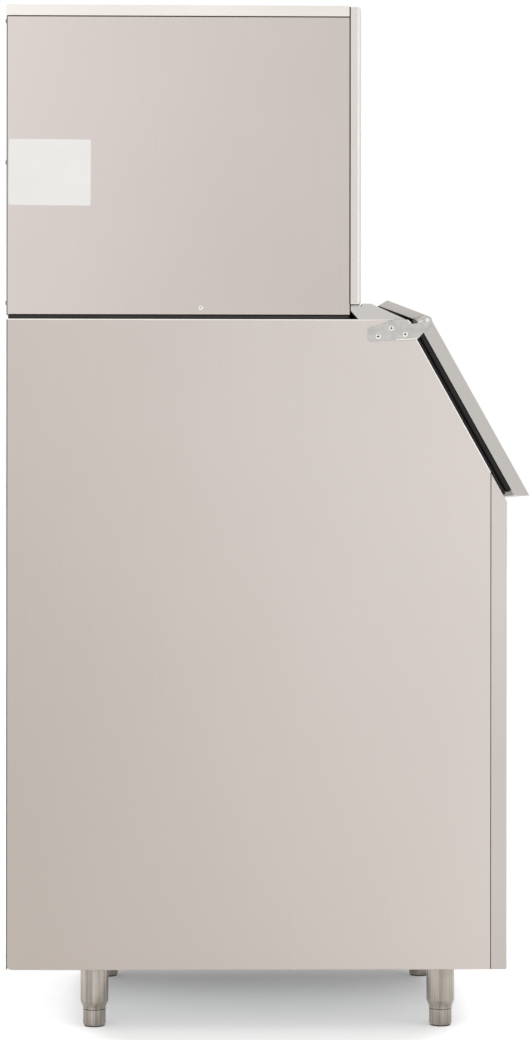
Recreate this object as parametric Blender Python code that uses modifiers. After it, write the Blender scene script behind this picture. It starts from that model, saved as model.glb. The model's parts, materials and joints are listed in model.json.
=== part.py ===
"""Ice machine head standing on an insulated storage bin with a sloped, hinged door.

Units are metres and +Z is up. The origin is on the floor, under the middle of the whole object.
The front faces -Y. Depths are measured forward from the rear face of the cabinet.
"""
import math

import bmesh
import bpy
from mathutils import Matrix, Vector

# Overall sizes
cabinet_width = 0.560
leg_height = 0.102
bin_side_height = 1.073
slope_depth = 0.168
slope_drop = 0.300
head_side_depth = 0.566
head_side_height = 0.492
head_to_slope = 0.092
cover_rim_height = 0.0185

# Sheet metal and fits
sheet = 0.001
gap = 0.0003
bend = 0.002
flange_width = 0.018
front_return = 0.026
corner_radius = 0.008
overrun = 0.005
weld_distance = 0.00001

# Insulated walls of the bin
wall = 0.045
floor_wall = 0.050
liner_sheet = 0.002
foam_clearance = 0.003
floor_fall = 0.012
liner_corner_radius = 0.014
mouth_frame_sheet = 0.0015

# Top of the bin
deck_set_back = 0.058
trim_height = 0.026
trim_slope_reach = 0.057
trim_tongue_height = 0.0215
trim_tongue_rise = 0.014
trim_tongue_cut = 0.0125
trim_bar_set_back = 0.0005
baffle_drop = 0.135
baffle_flange = 0.022
baffle_side_clearance = 0.006
baffle_foot_run = 0.018
baffle_foot_drop = 0.020

# Door
door_side_clearance = 0.001
door_thickness = 0.0215
gasket_height = 0.0150
gasket_width = 0.018
gasket_groove = 0.0042
gasket_bottom_margin = 0.012
gasket_top_down = 0.0345
door_corner_down = 0.0145
door_bottom_above_sill = 0.0098
lip_tilt = math.radians(24.7)
lip_length = 0.0731
lip_thickness = 0.0145
lip_undercut = 0.0098
lip_side_clearance = 0.004
plug_margin = 0.020
plug_stand_off = 0.0045
plug_top_down = 0.052
plug_bottom_up = 0.112
plug_draft = 0.006

# Hinge
pin_radius = 0.003
pin_clearance = 0.00015
pin_head_radius = 0.0048
pin_head_height = 0.0020
pin_reach = 0.022
pin_tip = 0.0008
pivot_down = 0.0185
pivot_out = 0.0305
bracket_sheet = 0.0025
bracket_length = 0.098
bracket_height = 0.0346
bracket_end_radius = 0.0105
bracket_end_drop = 0.0055
bracket_corner_radius = 0.005
screw_head_radius = 0.0042
screw_head_height = 0.0024

# Head
head_gasket_height = 0.007
head_gasket_width = 0.016
head_gasket_margin = 0.002
seam = 0.0015
front_panel_depth = 0.0177
front_fold_radius = 0.0050
front_panel_lift = 0.0165
front_panel_top_set_down = 0.0012
pan_flange = 0.025
chute_sheet = 0.0015
chute_below_deck = 0.018
chute_clearance = 0.004
chute_reach = 0.130
chute_front_clearance = 0.021
chute_left_clearance = 0.010
chute_right_clearance = 0.055
chute_top_rise = 0.012
machine_side_width = 0.250

# Legs
leg_rear_inset = 0.143
leg_front_inset = 0.105
leg_side_inset = 0.056
sleeve_radius = 0.0233
sleeve_bottom_z = 0.0292
sleeve_taper_bottom_z = 0.0324
sleeve_taper_top_z = 0.0424
foot_radius = 0.0190
foot_stem_radius = 0.0100
foot_stem_length = 0.035
foot_stem_clearance = 0.0004
foot_round = 0.0070
sole_radius = 0.0150
sole_height = 0.0015
hex_groove_depth = 0.0012
hex_groove_height = 0.0030

# Places worked out from the sizes above
half_width = cabinet_width / 2
inner_half = half_width - wall
bin_top_depth = head_side_depth + head_to_slope
bin_depth = bin_top_depth + slope_depth
deck_front_depth = bin_top_depth - deck_set_back
bulkhead_x = machine_side_width - half_width
chute_left = bulkhead_x + chute_left_clearance
chute_right = half_width - chute_right_clearance
chute_front_depth = head_side_depth - chute_front_clearance
chute_rear_depth = chute_front_depth - chute_reach
bin_bottom_z = leg_height
bin_top_z = bin_bottom_z + bin_side_height
sill_z = bin_top_z - slope_drop
slope_angle = math.atan2(slope_drop, slope_depth)
slope_length = math.hypot(slope_depth, slope_drop)
side_top_z = bin_top_z - sheet - gap
head_bottom_z = bin_top_z + head_gasket_height
head_side_top_z = head_bottom_z + head_side_height
head_top_z = head_side_top_z + cover_rim_height
head_depth = head_side_depth + gap + front_panel_depth
pan_floor_z = head_bottom_z + 2 * (sheet + gap)
door_out = gap + gasket_height + gap + door_thickness
door_inner_out = door_out - door_thickness
door_bottom_z = sill_z + door_bottom_above_sill
door_tip_depth = (bin_top_depth + (bin_top_z - door_bottom_z) * slope_depth / slope_drop
                  + door_out / math.sin(slope_angle))
rear_y = door_tip_depth / 2

collection = bpy.data.collections.new("ice_machine_with_storage_bin")
guides = bpy.data.collections.new("cutters")


# Places and frames

def world(x, depth, z):
    """Point at a distance forward of the cabinet's rear face."""
    return Vector((x, rear_y - depth, z))


def frame_of(p_axis, q_axis, origin):
    """Right-handed frame from two axes and an origin."""
    p_axis, q_axis = Vector(p_axis), Vector(q_axis)
    matrix = Matrix((p_axis, q_axis, p_axis.cross(q_axis))).transposed().to_4x4()
    matrix.translation = origin
    return matrix


def side_frame(x, side=1):
    """Side view, its local Z towards the cabinet's middle: side 1 is right, -1 is left."""
    return frame_of((0, -side, 0), (0, 0, 1), world(x, 0, 0))


def side_points(outline, side=1):
    """Side-view outline of (depth, z) points for side_frame."""
    return [(side * depth, z) for depth, z in outline]


def front_frame(depth):
    """Front view of (x, z) points, its local Z forward."""
    return frame_of((1, 0, 0), (0, 0, 1), world(0, depth, 0))


def back_frame(depth):
    """Front view of (-x, z) points, its local Z rearward."""
    return frame_of((-1, 0, 0), (0, 0, 1), world(0, depth, 0))


def top_frame(z):
    """Plan view of (x, depth) points, its local Z down."""
    return frame_of((1, 0, 0), (0, -1, 0), world(0, 0, z))


def slope_point(down, out):
    """Depth and height of a place down the sloped mouth and out from its plane."""
    depth = bin_top_depth + down * math.cos(slope_angle) + out * math.sin(slope_angle)
    z = bin_top_z - down * math.sin(slope_angle) + out * math.cos(slope_angle)
    return depth, z


def slope_z(depth):
    """Height of the sloped mouth's plane at a depth."""
    return bin_top_z - (depth - bin_top_depth) * slope_drop / slope_depth


def slope_frame(out):
    """View square to the sloped mouth of (x, down) points, its local Z into the bin."""
    downhill = (0, -math.cos(slope_angle), -math.sin(slope_angle))
    return frame_of((1, 0, 0), downhill, world(0, *slope_point(0, out)))


def rectangle(p0, q0, p1, q1):
    """Corners of a rectangle, anticlockwise."""
    return [(p0, q0), (p1, q0), (p1, q1), (p0, q1)]


def circle(p, q, radius, count):
    """Points of a circle, anticlockwise."""
    return [(p + radius * math.cos(math.tau * k / count), q + radius * math.sin(math.tau * k / count))
            for k in range(count)]


def meet(a, direction_a, b, direction_b):
    """Crossing of two lines, each given by a point and a direction."""
    cross = direction_a[0] * direction_b[1] - direction_a[1] * direction_b[0]
    along = ((b[0] - a[0]) * direction_b[1] - (b[1] - a[1]) * direction_b[0]) / cross
    return a[0] + along * direction_a[0], a[1] + along * direction_a[1]


def inset(outline, distances):
    """Outline drawn anticlockwise with each edge moved inward by its own distance."""
    count = len(outline)
    lines = []
    for k in range(count):
        (p0, q0), (p1, q1) = outline[k], outline[(k + 1) % count]
        length = math.hypot(p1 - p0, q1 - q0)
        along = ((p1 - p0) / length, (q1 - q0) / length)
        lines.append(((p0 - along[1] * distances[k], q0 + along[0] * distances[k]), along))
    return [meet(*lines[k - 1], *lines[k]) for k in range(count)]


def rounded(outline, radii, steps=4):
    """Outline with its corners rounded to the given radii."""
    points = []
    count = len(outline)
    for k in range(count):
        corner = Vector(outline[k])
        before, after = Vector(outline[k - 1]), Vector(outline[(k + 1) % count])
        if not radii[k]:
            points.append(tuple(corner))
            continue
        to_before, to_after = (before - corner).normalized(), (after - corner).normalized()
        half = to_before.angle(to_after) / 2
        reach = radii[k] / math.tan(half)
        centre = corner + (to_before + to_after).normalized() * radii[k] / math.sin(half)
        start, end = corner + to_before * reach - centre, corner + to_after * reach - centre
        turn = start.angle_signed(end)
        for step in range(steps + 1):
            swing = Matrix.Rotation(-turn * step / steps, 2)
            points.append(tuple(centre + swing @ start))
    return points


def strip(path, thickness):
    """Outline of a bent strip: a path of points with its thickness laid to the left."""
    lines = []
    for (p0, q0), (p1, q1) in zip(path, path[1:]):
        length = math.hypot(p1 - p0, q1 - q0)
        along = ((p1 - p0) / length, (q1 - q0) / length)
        lines.append(((p0 - along[1] * thickness, q0 + along[0] * thickness), along))
    first, last = lines[0], lines[-1]
    left = [first[0]]
    left += [meet(*a, *b) for a, b in zip(lines, lines[1:])]
    end = Vector(path[-1])
    left.append((end.x - last[1][1] * thickness, end.y + last[1][0] * thickness))
    return list(path) + left[::-1]


# Making solids

def finish(obj, material, smooth=None):
    """Give an object its material and shading and put it in the part's collection."""
    obj.data.materials.clear()
    obj.data.materials.append(material)
    collection.objects.link(obj)
    if smooth and obj.type == "MESH":
        obj.data.shade_smooth()
        obj.data.set_sharp_from_angle(angle=smooth)
    return obj


def guide(obj):
    """Keep an object only as a tool for the solids."""
    guides.objects.link(obj)
    obj.hide_render = True
    obj.display_type = "WIRE"
    return obj


def mesh_object(name, bm, placement=None):
    """Object from a bmesh, which is freed."""
    mesh = bpy.data.meshes.new(name)
    bm.to_mesh(mesh)
    bm.free()
    obj = bpy.data.objects.new(name, mesh)
    obj.matrix_world = placement if placement is not None else Matrix()
    return obj


def made_mesh(curve_object):
    """Mesh object from a curve, its caps welded to its sides."""
    bpy.context.scene.collection.objects.link(curve_object)
    bpy.context.view_layer.update()
    shape = curve_object.evaluated_get(bpy.context.evaluated_depsgraph_get())
    mesh = bpy.data.meshes.new_from_object(shape)
    bm = bmesh.new()
    bm.from_mesh(mesh)
    bmesh.ops.remove_doubles(bm, verts=bm.verts, dist=weld_distance)
    bmesh.ops.recalc_face_normals(bm, faces=bm.faces)
    bm.to_mesh(mesh)
    bm.free()
    name, placement = curve_object.name, curve_object.matrix_world.copy()
    bpy.data.objects.remove(curve_object)
    obj = bpy.data.objects.new(name, mesh)
    obj.matrix_world = placement
    return obj


def plate(name, outline, thickness, placement, holes=()):
    """Flat plate, its outline and holes filled and its thickness laid along local +Z."""
    curve = bpy.data.curves.new(name, "CURVE")
    curve.dimensions = "2D"
    curve.fill_mode = "BOTH"
    curve.extrude = thickness / 2
    for ring in (outline, *holes):
        spline = curve.splines.new("POLY")
        spline.points.add(len(ring) - 1)
        for point, (p, q) in zip(spline.points, ring):
            point.co = (p, q, 0, 1)
        spline.use_cyclic_u = True
    obj = bpy.data.objects.new(name, curve)
    obj.matrix_world = placement @ Matrix.Translation((0, 0, thickness / 2))
    return made_mesh(obj)


def span(name, outline, half, placement_x=0):
    """Side-view outline of (depth, z) points carried across the width, the same each way."""
    return plate(name, outline, 2 * half, side_frame(placement_x + half))


def block(name, low, high):
    """Box between two places given as (x, depth, z)."""
    bm = bmesh.new()
    bmesh.ops.create_cube(bm, size=1)
    a, b = world(*low), world(*high)
    size = Vector([abs(b[k] - a[k]) for k in range(3)])
    bmesh.ops.scale(bm, vec=size, verts=bm.verts)
    bmesh.ops.translate(bm, vec=(a + b) / 2, verts=bm.verts)
    return mesh_object(name, bm)


def folded(name, outline, turn, placement, thickness=sheet, flat_edges=(), radius=bend):
    """Folded sheet: a flat face whose edges turn towards local +Z, its thickness laid inward.

    turn is one flange depth, or a function of an outline point that gives its flange vector.
    Edges whose numbers are in flat_edges are left flat.
    """
    bm = bmesh.new()
    face = bm.faces.new([bm.verts.new((p, q, 0)) for p, q in outline])
    edges = [edge for k, edge in enumerate(face.edges) if k not in flat_edges]
    made = bmesh.ops.extrude_edge_only(bm, edges=edges)["geom"]
    for vert in (item for item in made if isinstance(item, bmesh.types.BMVert)):
        vert.co += Vector(turn(vert.co.x, vert.co.y) if callable(turn) else (0, 0, turn))
    bmesh.ops.recalc_face_normals(bm, faces=bm.faces)
    if face.normal.z > 0:
        bmesh.ops.reverse_faces(bm, faces=bm.faces)
    obj = mesh_object(name, bm, placement)
    if radius:
        rounding = obj.modifiers.new("bends", "BEVEL")
        rounding.width = radius
        rounding.segments = 2
        rounding.limit_method = "ANGLE"
        rounding.angle_limit = math.radians(30)
    wall_maker = obj.modifiers.new("sheet", "SOLIDIFY")
    wall_maker.thickness = thickness
    wall_maker.offset = -1
    wall_maker.use_even_offset = True
    return obj


def turned(name, profile, placement, steps=32, closed=False):
    """Turned solid about local Z; the profile of (radius, height) runs from top to bottom outside."""
    bm = bmesh.new()
    verts = [bm.verts.new((radius, 0, height)) for radius, height in profile]
    for a, b in zip(verts, verts[1:] + verts[:1] if closed else verts[1:]):
        bm.edges.new((a, b))
    obj = mesh_object(name, bm, placement)
    screw = obj.modifiers.new("turn", "SCREW")
    screw.steps = screw.render_steps = steps
    screw.use_merge_vertices = True
    screw.merge_threshold = weld_distance
    screw.use_smooth_shade = True
    return obj


def tube(name, points, radius, sides=2):
    """Round tube along a list of world points."""
    curve = bpy.data.curves.new(name, "CURVE")
    curve.dimensions = "3D"
    curve.bevel_depth = radius
    curve.bevel_resolution = sides
    curve.use_fill_caps = True
    spline = curve.splines.new("POLY")
    spline.points.add(len(points) - 1)
    for point, place in zip(spline.points, points):
        point.co = (*place, 1)
    return bpy.data.objects.new(name, curve)


def loft(name, rings):
    """Solid through rings of equally many points, closed by a face at each end."""
    bm = bmesh.new()
    rows = [[bm.verts.new(place) for place in ring] for ring in rings]
    for row, following in zip(rows, rows[1:]):
        count = len(row)
        for k in range(count):
            bm.faces.new((row[k], row[(k + 1) % count], following[(k + 1) % count], following[k]))
    bm.faces.new(rows[0][::-1])
    bm.faces.new(rows[-1])
    bmesh.ops.recalc_face_normals(bm, faces=bm.faces)
    return mesh_object(name, bm)


def combine(obj, tool, operation):
    """Boolean of an object with a tool that is kept as a guide."""
    if tool.type == "CURVE":
        tool = made_mesh(tool)
    guide(tool)
    step = obj.modifiers.new(operation.lower(), "BOOLEAN")
    step.operation = operation
    step.solver = "EXACT"
    step.object = tool
    return obj


def cut(obj, *tools):
    """Remove tools from an object."""
    for tool in tools:
        combine(obj, tool, "DIFFERENCE")
    return obj


def fuse(obj, *tools):
    """Join tools to an object as one body."""
    for tool in tools:
        combine(obj, tool, "UNION")
    return obj


def rod_along_x(name, radius, x0, x1, depth, z, steps=18):
    """Plain round rod along X."""
    low, high = min(x0, x1), max(x0, x1)
    placement = frame_of((0, 1, 0), (0, 0, 1), world(0, depth, z))
    return turned(name, [(0, high), (radius, high), (radius, low), (0, low)], placement, steps)


def material(name, colour, roughness, metallic=0.0):
    """Principled material in linear colour."""
    finish_of = bpy.data.materials.new(name)
    finish_of.use_nodes = True
    shader = finish_of.node_tree.nodes["Principled BSDF"]
    shader.inputs["Base Color"].default_value = (*colour, 1)
    shader.inputs["Roughness"].default_value = roughness
    shader.inputs["Metallic"].default_value = metallic
    return finish_of


# Storage bin

def bin_side_outline():
    """Side view of the bin's side panel, from its rear fold to the front panel's return."""
    rear, front = sheet + gap, bin_depth - front_return - seam
    top_front = bin_top_depth + (bin_top_z - side_top_z) * slope_depth / slope_drop
    return [(rear, bin_bottom_z), (front, bin_bottom_z), (front, slope_z(front)),
            (top_front, side_top_z), (rear, side_top_z)]


def make_bin_side_panels(steel):
    """Folded side sheets with a sloped front edge and a rounded lower rear corner."""
    outline = bin_side_outline()
    outline = rounded(outline, [corner_radius, 0, 0, 0, 0], 3)
    front_edge = len(outline) - 4
    for word, side in (("left", -1), ("right", 1)):
        panel = folded(f"bin_side_panel_{word}", side_points(outline, side), flange_width,
                       side_frame(side * half_width, side), flat_edges=(front_edge,))
        finish(panel, steel)


def make_bin_front_panel(steel):
    """Front sheet with side returns whose tops follow the sloped mouth."""
    rise = front_return * slope_drop / slope_depth
    outline = rectangle(-half_width, bin_bottom_z, half_width, sill_z)

    def turn(p, q):
        return 0, rise if q > (bin_bottom_z + sill_z) / 2 else 0, front_return

    finish(folded("bin_front_panel", outline, turn, back_frame(bin_depth)), steel)


def make_bin_rear_panel(steel):
    """Flat rear sheet with a window for the drain."""
    outline = rectangle(-half_width, bin_bottom_z, half_width, side_top_z)
    window = rectangle(-drain_window_half, drain_z - drain_window_half,
                       drain_window_half, drain_z + drain_window_half)
    finish(plate("bin_rear_panel", outline, sheet, front_frame(0), [window]), steel)


def make_bin_bottom_panel(steel):
    """Flat bottom sheet between the folds of the side panels, which carries the legs."""
    side = half_width - flange_width - gap
    outline = rectangle(-side, sheet + gap, side, bin_depth - front_return - seam)
    finish(plate("bin_bottom_panel", outline, sheet, top_frame(bin_bottom_z + sheet)), steel)


def bin_shell_outline():
    """Side view of the whole bin without its legs."""
    return [(0, bin_bottom_z), (bin_depth, bin_bottom_z), (bin_depth, sill_z),
            (bin_top_depth, bin_top_z), (0, bin_top_z)]


def cavity_outline():
    """Side view of the space inside the liner, its floor falling to the drain at the rear."""
    front = bin_depth - wall
    return [(wall, bin_bottom_z + floor_wall), (front, bin_bottom_z + floor_wall + floor_fall),
            (front, slope_z(front)), (bin_top_depth, bin_top_z), (wall, bin_top_z)]


def make_foam(foam):
    """Insulation between the outer sheets and the liner, one slab to each wall."""
    shell, cavity = bin_shell_outline(), cavity_outline()
    side_outline = rounded(inset(shell, [foam_clearance] * len(shell)), [corner_radius, 0, 0, 0, 0], 3)
    inner = inner_half + liner_sheet + gap
    outer = half_width - sheet - gap
    for word, side in (("left", -1), ("right", 1)):
        finish(plate(f"foam_{word}", side_points(side_outline, side), outer - inner,
                     side_frame(side * outer, side)), foam)

    half = inner_half + liner_sheet
    skin = liner_sheet + gap
    (rear, floor_rear), (front, floor_front) = cavity[0], cavity[1]
    low = bin_bottom_z + foam_clearance
    fall = (floor_front - floor_rear) / (front - rear)
    far = bin_depth - foam_clearance

    def floor_top(depth):
        return floor_rear + (depth - rear) * fall - skin

    finish(span("foam_floor", [(foam_clearance, low), (far, low), (far, floor_top(far)),
                               (foam_clearance, floor_top(foam_clearance))], half), foam)

    behind = rear - skin
    slab = span("foam_rear", [(foam_clearance, floor_top(foam_clearance) + gap),
                              (behind, floor_top(behind) + gap), (behind, bin_top_z - foam_clearance),
                              (foam_clearance, bin_top_z - foam_clearance)], half)
    pocket = block("drain_pocket", (-drain_window_half, -overrun, drain_z - drain_window_half),
                   (drain_window_half, drain_pocket_depth, drain_z + drain_window_half))
    cut(slab, pocket, drain_bore("drain_bore_foam"))
    finish(slab, foam)

    ahead = front + skin
    down = foam_clearance / math.cos(slope_angle)
    finish(span("foam_front", [(ahead, floor_top(ahead) + gap), (far, floor_top(far) + gap),
                               (far, slope_z(far) - down), (ahead, slope_z(ahead) - down)], half), foam)


def make_liner(plastic):
    """Moulded tub with rounded corners, open at the top and at the sloped mouth."""
    lip = foam_clearance
    outline = inset(cavity_outline(), [-liner_sheet, -liner_sheet, lip, lip, -liner_sheet])
    half = inner_half + liner_sheet
    bm = bmesh.new()
    ends = [[bm.verts.new(world(side * half, depth, z)) for depth, z in outline] for side in (-1, 1)]
    count = len(outline)
    bm.faces.new(ends[0])
    bm.faces.new(ends[1][::-1])
    for k in (0, 1, 4):
        following = (k + 1) % count
        bm.faces.new((ends[0][k], ends[1][k], ends[1][following], ends[0][following]))
    bmesh.ops.recalc_face_normals(bm, faces=bm.faces)
    middle = Vector((0, 0, (bin_bottom_z + bin_top_z) / 2))
    sample = next(iter(bm.faces))
    if sample.normal.dot(sample.calc_center_median() - middle) < 0:
        bmesh.ops.reverse_faces(bm, faces=bm.faces)
    folds = [edge for edge in bm.edges if len(edge.link_faces) == 2]
    bmesh.ops.bevel(bm, geom=folds, offset=liner_corner_radius, segments=3, profile=0.5,
                    affect="EDGES", clamp_overlap=True)
    tub = mesh_object("bin_liner", bm)
    skin = tub.modifiers.new("skin", "SOLIDIFY")
    skin.thickness = liner_sheet
    skin.offset = -1
    skin.use_even_offset = True
    cut(tub, drain_bore("drain_bore_liner"))
    finish(tub, plastic, math.radians(40))


def make_top_deck(steel):
    """Flat deck with tongues over the side walls and a hole for the ice chute."""
    half = half_width
    outline = [(-half, 0), (half, 0), (half, bin_top_depth), (inner_half, bin_top_depth),
               (inner_half, deck_front_depth), (-inner_half, deck_front_depth),
               (-inner_half, bin_top_depth), (-half, bin_top_depth)]
    hole = rectangle(chute_left - chute_clearance, chute_rear_depth - chute_clearance,
                     chute_right + chute_clearance, chute_front_depth + chute_clearance)
    finish(plate("bin_top_deck", outline, sheet, top_frame(bin_top_z), [hole]), steel)


def make_mouth_top_trim(steel):
    """Raised bar under the head's front with a wedge over each side wall of the bin."""
    base = bin_top_z + gap
    top = bin_top_z + trim_height
    tongue_top = bin_top_z + trim_tongue_height
    rear = head_side_depth + seam
    step = head_depth + seam
    tongue = [(rear + trim_tongue_cut, base)]
    back = [(step, top), (step, tongue_top), (rear, tongue_top), (rear, base + trim_tongue_rise)]
    front = deck_front_depth - trim_bar_set_back
    wedge = tongue + [(bin_top_depth, base), (bin_top_depth - trim_slope_reach, top)] + back
    bar = tongue + [(front, base), (front, top)] + back
    inner = inner_half + door_side_clearance
    width = half_width - inner
    trim = span("mouth_top_trim", bar, half_width - width / 2)
    for side in (-1, 1):
        fuse(trim, plate(f"trim_wedge_{side}", side_points(wedge, side), width,
                         side_frame(side * half_width, side)))
    finish(trim, steel)


def make_mouth_frame(plastic):
    """Breaker strip round the sloped mouth, over the foam between the outer sheet and the liner."""
    outer = half_width - flange_width - gap
    bottom = slope_length - (front_return + seam) / math.cos(slope_angle)
    sill_inner = slope_length - wall / math.cos(slope_angle)
    top = foam_clearance
    outline = [(-outer, top), (-inner_half, top), (-inner_half, sill_inner), (inner_half, sill_inner),
               (inner_half, top), (outer, top), (outer, bottom), (-outer, bottom)]
    strip_plate = plate("mouth_frame", outline, mouth_frame_sheet, slope_frame(0))
    finish(strip_plate, plastic)


def make_ice_baffle(plastic):
    """Sheet that hangs from the deck's front edge and keeps the ice back."""
    top = bin_top_z - sheet - gap
    front = deck_front_depth
    path = [(front - baffle_flange, top), (front, top), (front, top - baffle_drop),
            (front - baffle_foot_run, top - baffle_drop - baffle_foot_drop)]
    outline = strip(path[::-1], liner_sheet)
    finish(span("ice_baffle", outline, inner_half - baffle_side_clearance), plastic)


drain_radius = 0.013
drain_bore_radius = 0.010
drain_flange_radius = 0.020
drain_flange_thickness = 0.003
drain_nut_radius = 0.019
drain_nut_height = 0.008
drain_stub_inset = 0.004
drain_pocket_depth = 0.028
drain_window_half = liner_corner_radius + drain_flange_radius + sheet
drain_z = bin_bottom_z + floor_wall + drain_window_half


def rearward_frame(x, depth, z):
    """Frame of a turned piece whose local Z points out of the rear face."""
    return frame_of((-1, 0, 0), (0, 0, 1), world(x, depth, z))


def drain_bore(name):
    """Cutter for the drain's way through the rear wall."""
    radius = drain_radius + gap
    reach = wall + overrun
    profile = [(0, 0), (radius, 0), (radius, -reach), (0, -reach)]
    return turned(name, profile, rearward_frame(0, 0, drain_z), 20)


def make_bin_drain(plastic):
    """Flanged drain pipe through the rear wall, with its nut in the pocket."""
    flange_face = -(wall + gap)
    nut_face = -(drain_pocket_depth - gap)
    profile = [(drain_bore_radius, -drain_stub_inset), (drain_radius, -drain_stub_inset),
               (drain_radius, nut_face + drain_nut_height), (drain_nut_radius, nut_face + drain_nut_height),
               (drain_nut_radius, nut_face), (drain_radius, nut_face), (drain_radius, flange_face),
               (drain_flange_radius, flange_face),
               (drain_flange_radius, flange_face - drain_flange_thickness),
               (drain_bore_radius, flange_face - drain_flange_thickness)]
    finish(turned("bin_drain", profile, rearward_frame(0, 0, drain_z), 20, True), plastic)


# Hinge and door

pivot_depth, pivot_z = slope_point(pivot_down, pivot_out)


def bracket_outline():
    """Side view of the hinge bracket: a long plate, a notch and an arm with a round end at the pivot."""
    rear, bottom = pivot_depth - bracket_length, pivot_z - bracket_height
    foot_shares = ((0, 0), (0.85, 0.12))
    top_shares = ((0.925, 1.0), (0.835, 0.855), (0.73, 0.82), (0.665, 1.03), (0.47, 1.04), (0, 0.61))
    foot, top = ([(rear + p * bracket_length, bottom + q * bracket_height) for p, q in shares]
                 for shares in (foot_shares, top_shares))
    start, sweep, steps = math.radians(-50), math.radians(160), 6
    end = [(pivot_depth + bracket_end_radius * math.cos(start + sweep * k / steps),
            pivot_z - bracket_end_drop + bracket_end_radius * math.sin(start + sweep * k / steps))
           for k in range(steps + 1)]
    small = bracket_corner_radius / 2
    radii = [bracket_corner_radius] * 2 + [0] * (steps + 1) + [small, small, small, 0, 0, small]
    return rounded(foot + end + top, radii, 2)


def bracket_screw_places():
    """Depth and height of the three screws that hold the bracket."""
    rear, bottom = pivot_depth - bracket_length, pivot_z - bracket_height
    place_shares = ((0.17, 0.24), (0.395, 0.69), (0.625, 0.40))
    return [(rear + p * bracket_length, bottom + q * bracket_height) for p, q in place_shares]


def make_hinges(steel, pin_steel):
    """Brackets screwed to the bin's sides, each with a headed pin into the door."""
    bore = pin_radius + pin_clearance
    for word, side in (("left", -1), ("right", 1)):
        inner = half_width + gap
        outer = inner + bracket_sheet
        outline = side_points(bracket_outline(), side)
        hole = side_points(circle(pivot_depth, pivot_z, bore, 18), side)
        bracket = plate(f"hinge_bracket_{word}", outline, bracket_sheet,
                        side_frame(side * outer, side), [hole])
        outward = frame_of((0, side, 0), (0, 0, 1), world(0, 0, 0))
        for number, (depth, z) in enumerate(bracket_screw_places()):
            placement = outward.copy()
            placement.translation = world(side * outer, depth, z)
            rise, radius = screw_head_height, screw_head_radius
            dome_share, shoulder_share, foot_share = 0.55, 0.86, 0.5
            profile = [(0, rise), (radius * dome_share, rise),
                       (radius * shoulder_share, rise * shoulder_share), (radius, rise * foot_share),
                       (radius, -bracket_sheet / 2), (0, -bracket_sheet / 2)]
            fuse(bracket, turned(f"bracket_screw_{word}_{number}", profile, placement, 10))
        finish(bracket, steel)

        placement = outward.copy()
        placement.translation = world(side * (outer + gap), pivot_depth, pivot_z)
        edge = pin_head_height / 3
        profile = [(0, pin_head_height), (pin_head_radius - edge, pin_head_height),
                   (pin_head_radius, pin_head_height - edge), (pin_head_radius, 0), (pin_radius, 0),
                   (pin_radius, pin_tip - pin_reach), (pin_radius - pin_tip, -pin_reach), (0, -pin_reach)]
        finish(turned(f"hinge_pin_{word}", profile, placement, 16), pin_steel)


def door_outlines():
    """Side views of the door: its main slab, and the slab with its rear lip."""
    corner = slope_point(door_corner_down, door_out)
    back = (-math.cos(lip_tilt), math.sin(lip_tilt))
    under = (-math.sin(lip_tilt), -math.cos(lip_tilt))
    lip_top = (corner[0] + back[0] * lip_length, corner[1] + back[1] * lip_length)
    lip_tip = (lip_top[0] + back[0] * lip_undercut + under[0] * lip_thickness,
               lip_top[1] + back[1] * lip_undercut + under[1] * lip_thickness)
    downhill = (math.cos(slope_angle), -math.sin(slope_angle))
    elbow = meet(lip_tip, back, slope_point(0, door_inner_out), downhill)
    outer_bottom = meet(corner, downhill, (0, door_bottom_z), (1, 0))
    inner_bottom = meet(elbow, downhill, (0, door_bottom_z), (1, 0))
    main = [corner, elbow, inner_bottom, outer_bottom]
    whole = [corner, lip_top, lip_tip, elbow, inner_bottom, outer_bottom]
    return main, whole


def door_pin_bores(name, half):
    """Cutters for the two pins' bores."""
    radius = pin_radius + pin_clearance
    return [rod_along_x(f"{name}_{side}", radius, side * (half - pin_reach - overrun),
                        side * (half + overrun), pivot_depth, pivot_z) for side in (-1, 1)]


def make_door(steel, plastic, rubber):
    """Folded outer pan with its rear lip, the moulded inner panel in it and the gasket on it."""
    main, whole = door_outlines()
    main_half = half_width - door_side_clearance
    lip_half = inner_half - lip_side_clearance
    shell = span("door_shell", main, main_half)
    fuse(shell, span("door_lip", whole, lip_half))
    open_side = -overrun
    cut(shell, span("door_main_hollow", inset(main, [sheet, open_side, sheet, sheet]), main_half - sheet),
        span("door_lip_hollow", inset(whole, [sheet, sheet, open_side, open_side, sheet, sheet]),
             lip_half - sheet))
    cut(shell, *door_pin_bores("door_shell_bore", main_half))
    finish(shell, steel)

    room = sheet + gap
    flush = gap
    inner = span("door_liner", inset(main, [room, flush, room, room]), main_half - room)
    fuse(inner, span("door_liner_lip", inset(whole, [room, room, flush, flush, room, room]),
                     lip_half - room))
    half = inner_half - plug_margin
    bottom = slope_length - plug_bottom_up
    face = door_inner_out + overrun
    rings = []
    for out, draft in ((face, 0), (plug_stand_off + plug_draft / 2, 0), (plug_stand_off, plug_draft)):
        corners = rounded(rectangle(-half + draft, plug_top_down + draft, half - draft, bottom - draft),
                          [plug_margin - draft] * 4, 3)
        rings.append([world(x, *slope_point(down, out)) for x, down in corners])
    fuse(inner, loft("door_plug", rings))
    cut(inner, *door_pin_bores("door_liner_bore", main_half))
    finish(inner, plastic)

    make_door_gasket(rubber)


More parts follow.
